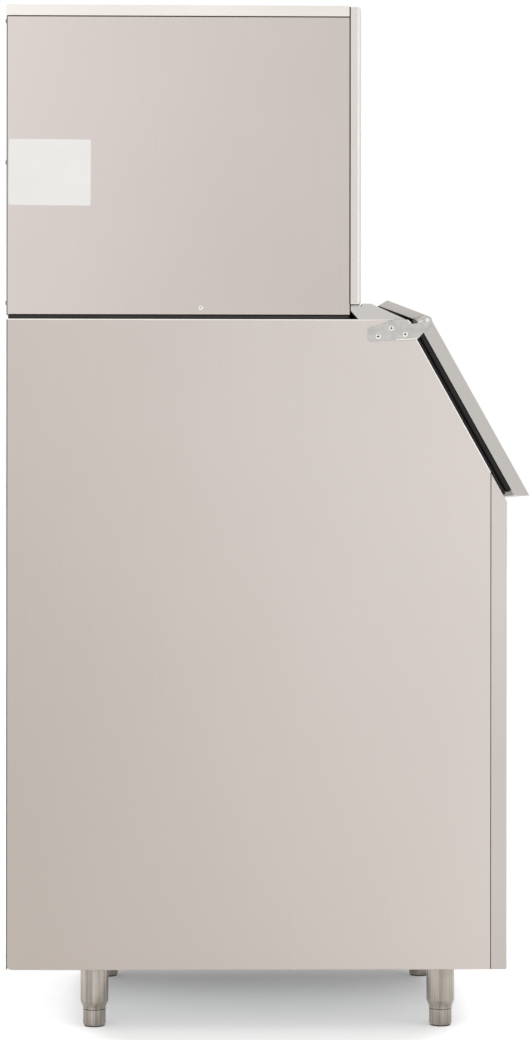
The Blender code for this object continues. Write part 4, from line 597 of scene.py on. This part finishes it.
FINISH_OF = {
    "bin_side_panel_left": bin_side_steel, "bin_side_panel_right": bin_side_steel,
    "head_side_panel_left": head_side_steel, "head_side_panel_right": head_side_steel,
    "bin_front_panel": front_steel, "head_front_panel": front_steel, "mouth_top_trim": trim_steel,
    "bin_top_deck": top_steel, "head_top_cover": top_steel, "door_shell": door_steel,
    "door_liner": door_plastic, "mouth_frame": door_plastic, "bin_liner": tub_plastic,
}
FINISH_OF_SLOT = {
    "stainless_panel": bin_side_steel, "bright_edge": top_steel, "zinc_sheet": zinc_sheet,
    "polished_steel": hinge_steel, "leg_steel": leg_metal, "insulation_foam": foam_block,
    "white_plastic": milky_plastic, "grey_plastic": grey_moulding, "black_plastic": black_moulding,
    "black_rubber": gasket_rubber, "nickel_plate": nickel, "copper_tube": copper,
    "aluminium_fin": fin_stock, "black_enamel": enamel, "brass": brass,
}


# Making pieces

def put(name, data):
    """A new object in the scene."""
    obj = bpy.data.objects.new(name, data)
    bpy.context.scene.collection.objects.link(obj)
    return obj


def merged(name, points, faces, distance, outwards=False):
    """A mesh with its doubles merged and, if asked, its faces turned outwards."""
    mesh = bpy.data.meshes.new(name)
    mesh.from_pydata(points.tolist(), [], faces)
    bm = bmesh.new()
    bm.from_mesh(mesh)
    bmesh.ops.remove_doubles(bm, verts=bm.verts, dist=distance)
    if outwards:
        bmesh.ops.recalc_face_normals(bm, faces=bm.faces)
    bm.to_mesh(mesh)
    bm.free()
    return mesh


def show(name, mesh, finish, body, sharp=35):
    """Puts a mesh in the scene as a piece that rides on a body and takes its finish."""
    material, slot = finish
    mesh.materials.clear()
    mesh.materials.append(material)
    mesh.shade_smooth()
    mesh.set_sharp_from_angle(angle=math.radians(sharp))
    piece = put(name, mesh)
    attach(piece, body)
    return piece


def made(name, shape, finish, body="cabinet", sharp=40, stands_for=()):
    """A new piece from a shape."""
    piece = show(name, merged(name, *shape, 1e-6, outwards=True), finish, body, sharp)
    if stands_for:
        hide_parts(*stands_for)
    return piece


def softened(piece, width, segments=3):
    """Rounds a piece's sharp edges."""
    bevel = piece.modifiers.new("rounded edges", "BEVEL")
    bevel.width, bevel.segments = width, segments
    bevel.limit_method, bevel.angle_limit = "ANGLE", math.radians(40)
    bevel.harden_normals = True


def thickened(piece, thickness=0.0007):
    """Gives an open sheet its thickness."""
    wall = piece.modifiers.new("sheet thickness", "SOLIDIFY")
    wall.thickness, wall.offset = thickness, -1


def body_of(node):
    """Name of the body that a node rides on."""
    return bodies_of(frame["nodes"][node])[0]


def finish_of(node):
    """Finish of a node: its own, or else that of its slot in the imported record."""
    slot = frame["nodes"][node].data.materials[0].name.split(".")[0]
    return FINISH_OF.get(node) or FINISH_OF_SLOT[slot]


def dressed(node, reshape=None):
    """A merged copy of a node that stands for it. It shades smoothly over its bends and keeps its
    flats flat, since a corner's normal follows the larger of its faces."""
    source = frame["nodes"][node].data
    points = np.empty(3 * len(source.vertices), np.float32)
    source.vertices.foreach_get("co", points)
    points = points.reshape(-1, 3)
    faces = [list(face.vertices) for face in source.polygons]
    mesh = merged(f"{node}_skin", reshape(points) if reshape else points, faces, 2e-6)
    piece = show(f"{node}_skin", mesh, finish_of(node), body_of(node))
    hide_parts(node)
    even = piece.modifiers.new("even faces", "WEIGHTED_NORMAL")
    even.keep_sharp = True


def lip_raised(points):
    """The lip's root slides up the slope, so that the lip lies flatter and keeps its tip: the slide
    falls evenly from the root to the tip, both along the lip's top and along its underside."""
    rise, half, clearance, foot = 0.0078, 0.231, 0.0002, 0.007
    tilt, length, thickness, undercut = math.radians(24.7), 0.0731, 0.0145, 0.0098
    corner_down, corner_out, root = 0.0145, 0.0371, 0.0166
    back = np.array([-math.cos(tilt), math.sin(tilt)])
    corner = np.array(slope_place(corner_down, corner_out))
    side = np.column_stack([rear_y - points[:, 1], points[:, 2]]) - corner
    along, below = side @ back, side @ np.array([-back[1], back[0]])
    start, end = root * below / thickness, length + undercut * below / thickness
    share = 1 - np.clip((along - start) / (end - start), 0, 1)
    lip = (np.abs(points[:, 0]) < half + clearance) & (points[:, 2] > bin_top_z - foot)
    return points - np.outer(share * lip, downhill) * rise


# Door gasket and head seal

def make_door_gasket():
    """Bellows gasket: its profile of (inset, height) points is carried down one side, round a tight
    corner, along the bottom and up the other side. At an inset i every side lies nearer the middle by
    i, and the corner's radius is less by i."""
    outer, top, bottom = half_width - sheet, 0.0345, slope_length - 0.012
    low, high, width, corner_radius = gap, 0.0153, 0.018, 0.005
    folds = [(0.0020, 0.0), (0.0004, 0.05), (0.0000, 0.14), (0.0006, 0.25), (0.0036, 0.33),
             (0.0042, 0.38), (0.0026, 0.45), (0.0006, 0.54), (0.0000, 0.68), (0.0003, 0.84),
             (0.0012, 0.95)]
    half = [(inset, low + share * (high - low)) for inset, share in folds] + [(0.0030, high)]
    loop = smooth_loop(half + [(width - i, h) for i, h in half[::-1]], 3)
    inset, height = loop.T
    inset, height = inset[:, None], np.clip(height, low, high)[:, None]
    corner = np.maximum(corner_radius - inset, least_radius)
    swing, drop = np.linspace(0, math.pi / 2, 7), np.linspace(0, 1, 6)
    side = outer - inset - corner
    base = bottom - inset - corner
    left_x = np.broadcast_to(-(side + corner), (len(loop), len(drop)))
    left_down = top + (base - top) * drop
    turn_x, turn_down = -side - corner * np.cos(swing), base + corner * np.sin(swing)
    x = np.concatenate([left_x, turn_x, -turn_x[:, ::-1], -left_x], 1)
    down = np.concatenate([left_down, turn_down, turn_down[:, ::-1], left_down[:, ::-1]], 1)
    points = np.stack(np.broadcast_arrays(x, down, -height), -1)
    points, faces = grid_shape(points.transpose(1, 0, 2), close_columns=True)
    count = len(loop)
    last = len(points) - count
    faces += [list(range(count)), list(range(last, last + count))[::-1]]
    shape = placed((points, faces), X, downhill, world(0, bin_top_depth, bin_top_z))
    made("door_gasket_bellows", shape, gasket_rubber, body_of("door_gasket"), 50, ["door_gasket"])


def make_head_seal():
    """Sponge seal between head and bin: a flattened round profile carried round the head's foot."""
    low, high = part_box("head_gasket")
    width, rise, edge, corner_radius = 0.016, high.z - low.z, 0.0022, 0.006
    loop = [(edge, 0), (edge * 0.3, rise * 0.10), (0, rise * 0.30), (0, rise * 0.70),
            (edge * 0.3, rise * 0.90), (edge, rise), (width - edge, rise), (width, rise * 0.70),
            (width, rise * 0.30), (width - edge, 0)]
    middle = (low + high) / 2
    shape = ring_about(loop, (high.x - low.x) / 2, (high.y - low.y) / 2, corner_radius)
    made("head_gasket_ring", placed(shape, X, Y, (middle.x, middle.y, low.z)), seal_and_shade_rubber,
         body_of("head_gasket"), 50, ["head_gasket"])


# Legs

def make_legs():
    """Turned sleeves and feet, each a profile with its edges rounded, carried round the leg's axis."""
    bore, sleeve_radius, neck_radius, collar_radius = 0.0104, 0.0233, 0.0192, 0.0252
    top, taper_top, taper_bottom, sleeve_end = 0.1016, 0.0424, 0.0324, 0.0292
    stem_radius, foot_radius, sole_radius, pad_radius = 0.0100, 0.0189, 0.0176, 0.0174
    stem_top, foot_top, sole = 0.0639, 0.0286, 0.0020
    sleeve = filleted([(bore, top, 0), (sleeve_radius, top, 0.0008), (sleeve_radius, taper_top, 0.004),
                       (neck_radius, taper_bottom, 0.002), (neck_radius, sleeve_end, 0.0004),
                       (bore, sleeve_end, 0)], 5)
    collar = filleted([(0.0105, top, 0), (collar_radius, top, 0.0004), (collar_radius, 0.0998, 0.0006),
                       (sleeve_radius, 0.0990, 0.0004), (0.0105, 0.0990, 0)], 3)
    foot = filleted([(0.0, stem_top, 0), (stem_radius, stem_top, 0.0010), (stem_radius, foot_top, 0),
                     (foot_radius, foot_top, 0.0007), (foot_radius, 0.0048, 0.0030),
                     (sole_radius, sole, 0.0006), (0.0, sole, 0)], 6)
    pad = filleted([(0.0, 0.0032, 0), (0.0168, 0.0032, 0), (pad_radius, 0.0018, 0.0004),
                    (0.0168, 0.0, 0.0008), (0.0, 0.0, 0)], 4)
    forms = (("sleeve", "turned", sleeve, leg_metal), ("sleeve", "collar", collar, leg_metal),
             ("foot", "turned", foot, leg_metal), ("foot", "pad", pad, grip_rubber))
    for word in ("rear_left", "rear_right", "front_left", "front_right"):
        low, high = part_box(f"leg_sleeve_{word}")
        middle = ((low.x + high.x) / 2, (low.y + high.y) / 2, 0)
        for kind, ending, profile, finish in forms:
            node = f"leg_{kind}_{word}"
            loop = np.concatenate([profile, profile[:1]]) if kind == "sleeve" else profile
            made(f"{node}_{ending}", placed(turned(loop, 72), X, Y, middle), finish, body_of(node),
                 stands_for=[node] if ending == "turned" else ())


# Hinges

pivot_depth, pivot_z = slope_place(pivot_down, pivot_out)


def on_bracket(p, q):
    """Depth and height of a place on the bracket, from shares of its length and height."""
    return (pivot_depth - bracket_length + p * bracket_length,
            pivot_z - bracket_height + q * bracket_height)


def on_side(shape, side, x, depth, z):
    """A shape on the outside of the left or right side, its local z outwards."""
    return placed(shape, (0, side, 0), Z, world(side * x, depth, z))


def bracket_outline():
    """Side view of the bracket: a long plate, a notch, and an arm whose end goes round a middle just
    under the pivot as (radius cos a, radius sin a)."""
    end, drop, count = 0.0082, 0.0012, 25
    turn = np.radians(np.linspace(-50, 110, count))
    ring = np.column_stack([pivot_depth + end * np.cos(turn), pivot_z - drop + end * np.sin(turn),
                            np.zeros(count)])
    corners = [(0.0, 0.0, 0.005), (0.85, 0.12, 0.005), (0.925, 1.0, 0.004), (0.835, 0.855, 0.005),
               (0.73, 0.82, 0.004), (0.665, 1.03, 0.0015), (0.47, 1.04, 0.006), (0.0, 0.61, 0.003)]
    corners = [(*on_bracket(p, q), radius) for p, q, radius in corners]
    return filleted(corners[:2] + ring.tolist() + corners[2:], 6)


def make_hinges():
    """Bracket plates with softened edges, of which three carry rolled beads lightened as painted
    highlight, cross-recess screws with dark discs in their recesses as painted shade, and headed pins."""
    outer = half_width + gap + bracket_sheet
    places = [on_bracket(p, q) for p, q in ((0.17, 0.205), (0.395, 0.61), (0.625, 0.32))]
    rolled = (((0.47, 0.066), (0.83, 0.117)), ((0.672, 0.99), (0.722, 0.85)),
              ((0.850, 0.89), (0.915, 0.985)))
    roll_radius, roll_x = 0.0010, outer - 0.0007
    screw = cross_screw(radius=0.0042, height=0.0024)
    # Dark discs sunk in the screws' recesses: painted shade.
    recess_shade_disc = turned([(0.0, 0.0018), (0.0009, 0.0018), (0.0011, 0.0015), (0.0011, 0.0004),
                   (0.0, 0.0004)], 24)
    pin = filleted([(0.0, 0.0018, 0), (0.0036, 0.0018, 0.0011), (0.0036, 0.0, 0), (0.0030, 0.0, 0),
                    (0.0030, -0.0212, 0), (0.0022, -0.0220, 0), (0.0, -0.0220, 0)], 5)
    for word, side in SIDES:
        plate = placed(prism(bracket_outline() * [side, 1], 0.0, bracket_sheet), (0, -side, 0), Z,
                       world(side * outer, 0, 0))
        piece = made(f"hinge_bracket_{word}_plate", plate, hinge_steel, "cabinet", 30,
                     [f"hinge_bracket_{word}"])
        softened(piece, 0.0009)
        rolls = [bar(*(world(side * roll_x, *on_bracket(*end)) for end in roll), circle(roll_radius), X)
                 for roll in rolled]
        made(f"hinge_bracket_{word}_rolled_edges", joined(rolls), highlight_steel)
        for ending, shape, finish in (("screws", screw, highlight_screw_steel),
                                      ("recess_shade", recess_shade_disc, black_moulding)):
            shapes = [on_side(shape, side, outer, *place) for place in places]
            made(f"hinge_bracket_{word}_{ending}", joined(shapes), finish, "cabinet", 32)
        headed = on_side(turned(pin, 48), side, outer + gap, pivot_depth, pivot_z)
        made(f"hinge_pin_{word}_headed", headed, highlight_screw_steel, body_of(f"hinge_pin_{word}"), 35,
             [f"hinge_pin_{word}"])


# Seals, folded edges and seams

def make_lip_shade_strip():
    """Dark strip on the underside of the door's lip: painted shade where the lip's underside lies in
    shadow.
    """
    tip, elbow = np.array([0.6161, 1.2020]), np.array([0.6725, 1.1811])
    thick, rounding, lift, set_back, overlap, half = 0.0018, 0.0006, 0.0004, 0.0015, 0.002, 0.2300
    back = (tip - elbow) / np.linalg.norm(tip - elbow)
    under = np.array([-back[1], back[0]])
    rear, front = tip - back * set_back + under * lift, elbow - back * overlap + under * lift
    strip = filleted([(*rear, 0), (*front, 0), (*(front + under * thick + back * overlap), rounding),
                      (*(rear + under * thick), rounding)], 4)
    seal = placed(prism(strip * [-1, 1], -half, half), Y, Z, world(0, 0, 0))
    made("door_lip_shade_strip", seal, seal_and_shade_rubber, body_of("door_shell"))


def make_side_strips():
    """Straight strips on both sides: folds along the bin's slope and deck lightened as painted
    highlight, dark cords in the seams as painted shade, a crowned fold lightened as painted highlight
    and a shim at the head's front, and dark tape behind the bin's front seam as painted shade. Each is
    (name, finish, profile, distance in from the side, start and end in depth and height)."""
    seam_depth = bin_top_depth + slope_depth - front_return - front_seam
    seam_top_z = bin_top_z - (seam_depth - bin_top_depth) * slope_drop / slope_depth
    bin_seam_shade_depth, head_seam_shade_depth = seam_depth + front_seam / 2, head_side_depth + gap / 2
    bead_in, fold_depth, shim_z, shim_half = 0.0009, 0.5797, 1.1975, 0.001
    deck_z = bin_top_z - bead_in

    def seam_shade_strip(wide, thin=0.0004):
        return rectangle(thin, wide, thin / 2)

    strips = (
        ("bin_slope_edge", highlight_steel, circle(0.0011), bead_in,
         (bin_top_depth + 0.002, bin_top_z - 0.0050), (seam_depth, seam_top_z - 0.0016)),
        ("bin_deck_edge", highlight_steel, circle(0.00115), bead_in,
         (0.0012, deck_z), (bin_top_depth - 0.001, deck_z)),
        # The seam strips and the tape behind the bin's front seam are dark: painted shade in the gaps.
        ("head_top_seam_seal", seal_and_shade_rubber, seam_shade_strip(0.0008), gap,
         (0.003, head_side_top_z), (head_side_depth - 0.001, head_side_top_z)),
        ("head_front_seam_seal", seal_and_shade_rubber, seam_shade_strip(0.0010), gap,
         (head_seam_shade_depth, head_bottom_z + 0.018), (head_seam_shade_depth, head_top_z - 0.002)),
        ("bin_front_seam_shade", seal_and_shade_rubber, seam_shade_strip(0.0007), gap,
         (bin_seam_shade_depth, bin_bottom_z + 0.001), (bin_seam_shade_depth, 0.917)),
        ("head_front_fold", highlight_steel, rectangle(0.0003, 0.0016, 0.0002), 0.0,
         (fold_depth, 1.2000), (fold_depth, 1.6905)),
        ("head_front_shim", trim_steel, rectangle(shim_half, 0.0006, 0.0002), gap + shim_half,
         (0.5680, shim_z), (0.5836, shim_z)),
        ("bin_front_seam_shade_tape", seal_and_shade_rubber, rectangle(0.0004, 0.005), sheet + bead_in,
         (seam_depth, bin_bottom_z + 0.002), (seam_depth, seam_top_z - 0.006)))
    for word, side in SIDES:
        for name, finish, profile, inward, start, end in strips:
            x = side * (half_width - inward)
            made(f"{name}_{word}", bar(world(x, *start), world(x, *end), profile, X), finish)


def make_mouth_sealant():
    """Round bead of white sealant along the joint of the mouth frame and the front sheet's fold."""
    half, y, z, radius = 0.2612, -0.36662, 0.92211, 0.0015
    made("mouth_frame_sealant", bar((-half, y, z), (half, y, z), circle(radius), Z), tub_plastic)


def make_drain_tray():
    """Moulded tray in the drain's window: each ring of it is a superellipse of eighth power,
    r = half / (|cos a|^8 + |sin a|^8)^(1/8), but the last two are circles round the drain's nut."""
    half, depth, hole, count = 0.0346, 0.0262, 0.0196, 96
    drain_z = (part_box("bin_drain")[0].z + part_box("bin_drain")[1].z) / 2
    angle = np.linspace(0, math.tau, count, endpoint=False)
    squared = (np.abs(np.cos(angle)) ** 8 + np.abs(np.sin(angle)) ** 8) ** -0.125
    rings = [(squared * (half + 0.0070), 0.0002), (squared * (half + 0.0066), 0.0012),
             (squared * (half + 0.0006), 0.0012), (squared * half, 0.0006),
             (squared * (half - 0.0016), -depth + 0.003), (squared * (half - 0.0040), -depth),
             (np.full(count, hole + 0.003), -depth), (np.full(count, hole), -depth)]
    radius = np.stack([ring for ring, _ in rings])
    height = np.array([height for _, height in rings])[:, None]
    points = np.stack(np.broadcast_arrays(radius * np.cos(angle), radius * np.sin(angle), height), -1)
    shape = placed(grid_shape(points, close_columns=True), (-1, 0, 0), Z, (0, rear_y, drain_z))
    thickened(made("drain_recess_tray", shape, grey_moulding))


# Louvres, screws, label and controls

def make_louvres():
    """Pressed hoods behind the vent slots of the head's front and rear sheets, in two columns."""
    count, pitch, column_offset, slot_offset = 11, 0.016, 0.051, 0.0042
    hood = louvre_hood(0.088, 0.0086, 0.0046)
    for word, y, facing, rise, finish in (("front", head_front_y, -1, 0.128, front_steel),
                                          ("rear", rear_y, 1, 0.218, zinc_sheet)):
        hoods = []
        for column in (-1, 1):
            for row in range(count):
                x = -half_width / 2 + column * column_offset
                z = head_bottom_z + rise + (row - count // 2) * pitch + slot_offset
                hoods.append(placed(hood, (facing, 0, 0), Z, (x, y - facing * sheet, z)))
        thickened(made(f"head_{word}_louvres", joined(hoods), finish, "cabinet", 60))


def make_panel_screws():
    """Pan-head screws along the sheets' edges."""
    radius, height, flat_height = 0.0038, 0.0022, 0.0009
    edge = half_width - 0.009

    def rear(xs, zs):
        return [((x, rear_y, z), Y) for x in xs for z in zs]

    rows = {
        "head_rear_screws": rear((-edge, edge), (1.2015, 1.4335, 1.6665)) +
                            rear((-0.09, 0.09), (1.195, 1.664)),
        "bin_rear_screws": rear((-edge, edge), (0.125, 0.38, 0.64, 0.90, 1.155)) +
                           rear((-0.12, 0.12), (0.112,)),
        "head_side_screws": [((side * half_width, rear_y - 0.320, head_bottom_z + 0.0115), (side, 0, 0))
                             for _, side in SIDES],
        "connection_pan_screws": rear((0.078, 0.252), (1.222, 1.298)),
    }
    for name, places in rows.items():
        screw = cross_screw(radius, flat_height if name == "bin_rear_screws" else height, 32, 9)
        screws = [placed(screw, np.cross(Z, facing), Z, place) for place, facing in places]
        # Rear screws take steel darkened as painted shade, the rest steel lightened as painted
        # highlight.
        made(name, joined(screws), shade_darkened_screw_steel if "rear" in name else highlight_screw_steel, "cabinet", 32)


def make_label():
    """Blank film: a thin rounded rectangle on the head's left side."""
    length, height, thick, tilt = 0.1352, 0.1089, 0.0002, math.radians(0.45)
    across, up = (0, math.cos(tilt), math.sin(tilt)), (0, -math.sin(tilt), math.cos(tilt))
    label = prism(rectangle(length / 2, height / 2, 0.003, 5), 0.0, thick)
    made("blank_side_label", placed(label, across, up, world(-half_width - thick, 0.0712, 1.4162)),
         film, "cabinet", 30)


def make_controls():
    """Window over the display, and a soft ring round each button."""
    pane = prism(rectangle(0.0215, 0.0115, 0.002, 5), -0.0007, 0.0001)
    window = placed(pane, X, Z, (-0.170, head_front_y, 1.605))
    softened(made("display_window", window, smoked_glass, "cabinet", 30), 0.0003, 2)
    ring = filleted([(0.0081, 0.0, 0), (0.0084, 0.0007, 0.0003), (0.0096, 0.0007, 0.0003),
                     (0.0100, 0.0, 0)], 4)
    rings = [placed(turned(np.concatenate([ring, ring[:1]]), 48), X, Z, (-0.110, head_front_y, z))
             for z in (1.593, 1.617)]
    made("button_rings", joined(rings), grey_moulding)


# Carried nodes

def dress_nodes():
    """Stands a smooth copy for each node that has bends or round forms, and gives each other node its
    finish. The door's two pans have their lip raised."""
    for node in ("bin_liner", "door_shell", "door_liner", "head_top_cover", "bin_side_panel_left",
                 "bin_side_panel_right", "head_side_panel_left", "head_side_panel_right",
                 "head_front_panel", "bin_front_panel", "mouth_top_trim", "bin_drain",
                 "drain_fitting", "inlet_fitting", "cord_gland", "water_pump", "compressor",
                 "suction_line", "evaporator_coil", "fan_blade", "fan_motor", "fan_shroud",
                 "distributor", "water_curtain", "water_trough", "power_button", "clean_button",
                 "control_bezel", "head_base_pan", "ice_baffle"):
        dressed(node, lip_raised if node in ("door_shell", "door_liner") else None)
    for node, obj in frame["nodes"].items():
        if not obj.hide_render:
            obj.material_slots[0].material = finish_of(node)[0]


# Floor, light and camera

def seen_ray(tree):
    """1 for rays from the camera, off gloss or through glass, 0 for the rest."""
    path = lay(tree, "LightPath")
    return reckon(tree, "MAXIMUM", reckon(tree, "MAXIMUM", path.outputs["Is Camera Ray"],
                                          path.outputs["Is Glossy Ray"]),
                  path.outputs["Is Transmission Ray"])


def make_floor():
    """Wide pale floor. Rays from the camera and off metal see it whitened by a glow, and the glow is
    cut back round the cabinet as a painted shadow over the real one: with r = (|x / 0.45|^4 + |y /
    0.34|^4)^(1/4) the glow grows from r = 0.80 to r = 1.08. Within it the glow is least on the far
    side, rises to the middle, then falls a little."""
    half_across, half_along, inner, outer = 0.45, 0.34, 0.80, 1.08
    full_glow, camera_glow, size = 0.47, 0.16, 40.0
    material, tree, shader = new_material("pale floor")
    shader.inputs["Base Color"].default_value = (0.90, 0.90, 0.90, 1)
    shader.inputs["Roughness"].default_value = 0.9
    shader.inputs["Specular IOR Level"].default_value = 0.0
    place = lay(tree, "TexCoord").outputs["Object"]
    across = lay(tree, "SeparateXYZ", {0: place}).outputs["X"]
    scaled = stretched(tree, place, (1 / half_across, 1 / half_along, 0.0))
    squared = reckon_vector(tree, "MULTIPLY", scaled, scaled)
    reach = reckon(tree, "POWER", reckon_vector(tree, "LENGTH", squared), 0.5)
    # Glow left within the painted shadow, least on the far side
    painted_shadow_glow = reckon(tree, "SUBTRACT", spread(tree, across, 0.28, -0.12, 0.085, 0.335),
                  spread(tree, across, -0.14, -0.30, 0.0, 0.09))
    share = spread(tree, reach, inner, outer)
    strength = reckon(tree, "MULTIPLY_ADD", reckon(tree, "SUBTRACT", full_glow, painted_shadow_glow), share, painted_shadow_glow)
    seen = reckon(tree, "MULTIPLY", share, lay(tree, "LightPath").outputs["Is Camera Ray"])
    strength = reckon(tree, "MULTIPLY_ADD", seen, camera_glow, strength)
    glow = lay(tree, "Emission", {"Color": (1, 1, 1, 1), "Strength": strength})
    dark = lay(tree, "Emission", {"Color": (1, 1, 1, 1), "Strength": 0.0})
    pick = lay(tree, "MixShader", {0: seen_ray(tree), 1: dark.outputs[0], 2: glow.outputs[0]})
    total = lay(tree, "AddShader", {0: shader.outputs[0], 1: pick.outputs[0]})
    tree.links.new(total.outputs[0], tree.nodes["Material Output"].inputs["Surface"])
    mesh = bpy.data.meshes.new("floor")
    mesh.from_pydata([(-size, -size, 0), (size, -size, 0), (size, size, 0), (-size, size, 0)], [],
                     [(0, 1, 2, 3)])
    mesh.materials.append(material)
    floor = put("floor", mesh)


def make_light():
    """White surroundings, dimmer from the right for what they light, and two soft lamps: a key from
    the upper left and a fill at the front, each as (name, place, target, size, power)."""
    lamps = (("key", (-4.6, 2.3, 3.4), (0.0, 0.1, 0.9), 3.6, 12.0),
             ("fill", (-1.6, -3.4, 2.2), (0.0, 0.0, 0.8), 2.0, 12.0))
    world_light = bpy.data.worlds.new("studio")
    world_light.use_nodes = True
    tree = world_light.node_tree
    tree.nodes.clear()
    direction = lay(tree, "TexCoord").outputs["Generated"]
    rightward = lay(tree, "SeparateXYZ", {0: direction}).outputs["X"]
    strength = spread(tree, rightward, 0.9, -0.5, 0.40, 0.92)
    plain = lay(tree, "Background", {"Color": (1, 1, 1, 1), "Strength": strength}).outputs[0]
    white = lay(tree, "Background", {"Color": (1, 1, 1, 1), "Strength": 1.0}).outputs[0]
    pick = lay(tree, "MixShader", {0: seen_ray(tree), 1: plain, 2: white})
    output = lay(tree, "OutputWorld")
    tree.links.new(pick.outputs[0], output.inputs["Surface"])
    bpy.context.scene.world = world_light
    for name, place, target, size, power in lamps:
        lamp = bpy.data.lights.new(name, "AREA")
        lamp.shape, lamp.size, lamp.energy = "DISK", size, power
        obj = put(name, lamp)
        obj.location = place
        obj.rotation_euler = (Vector(target) - Vector(place)).to_track_quat("-Z", "Y").to_euler()


def make_camera():
    """Camera at the photograph's place, lens and slight turns."""
    place, lens, sensor_width = (-4.28, 0.0655, 0.8418), 84.0, 36.0
    yaw, pitch, roll = math.radians(0.874), math.radians(-0.030), math.radians(0.051)
    forward = Vector((math.cos(pitch) * math.cos(yaw), -math.cos(pitch) * math.sin(yaw),
                      -math.sin(pitch)))
    level = forward.cross(Vector(Z)).normalized()
    upright = level.cross(forward)
    right = math.cos(roll) * level + math.sin(roll) * upright
    up = math.cos(roll) * upright - math.sin(roll) * level
    data = bpy.data.cameras.new("camera")
    data.lens, data.sensor_width = lens, sensor_width
    camera = put("camera", data)
    turn = Matrix((right, up, -forward)).transposed().to_4x4()
    camera.matrix_world = Matrix.Translation(place) @ turn
    bpy.context.scene.camera = camera


make_camera()
make_light()
make_floor()
make_door_gasket()
make_head_seal()
make_legs()
make_hinges()
make_lip_shade_strip()
make_side_strips()
make_mouth_sealant()
make_drain_tray()
make_louvres()
make_panel_screws()
make_label()
make_controls()
dress_nodes()

bpy.context.scene.view_settings.view_transform = "Standard"
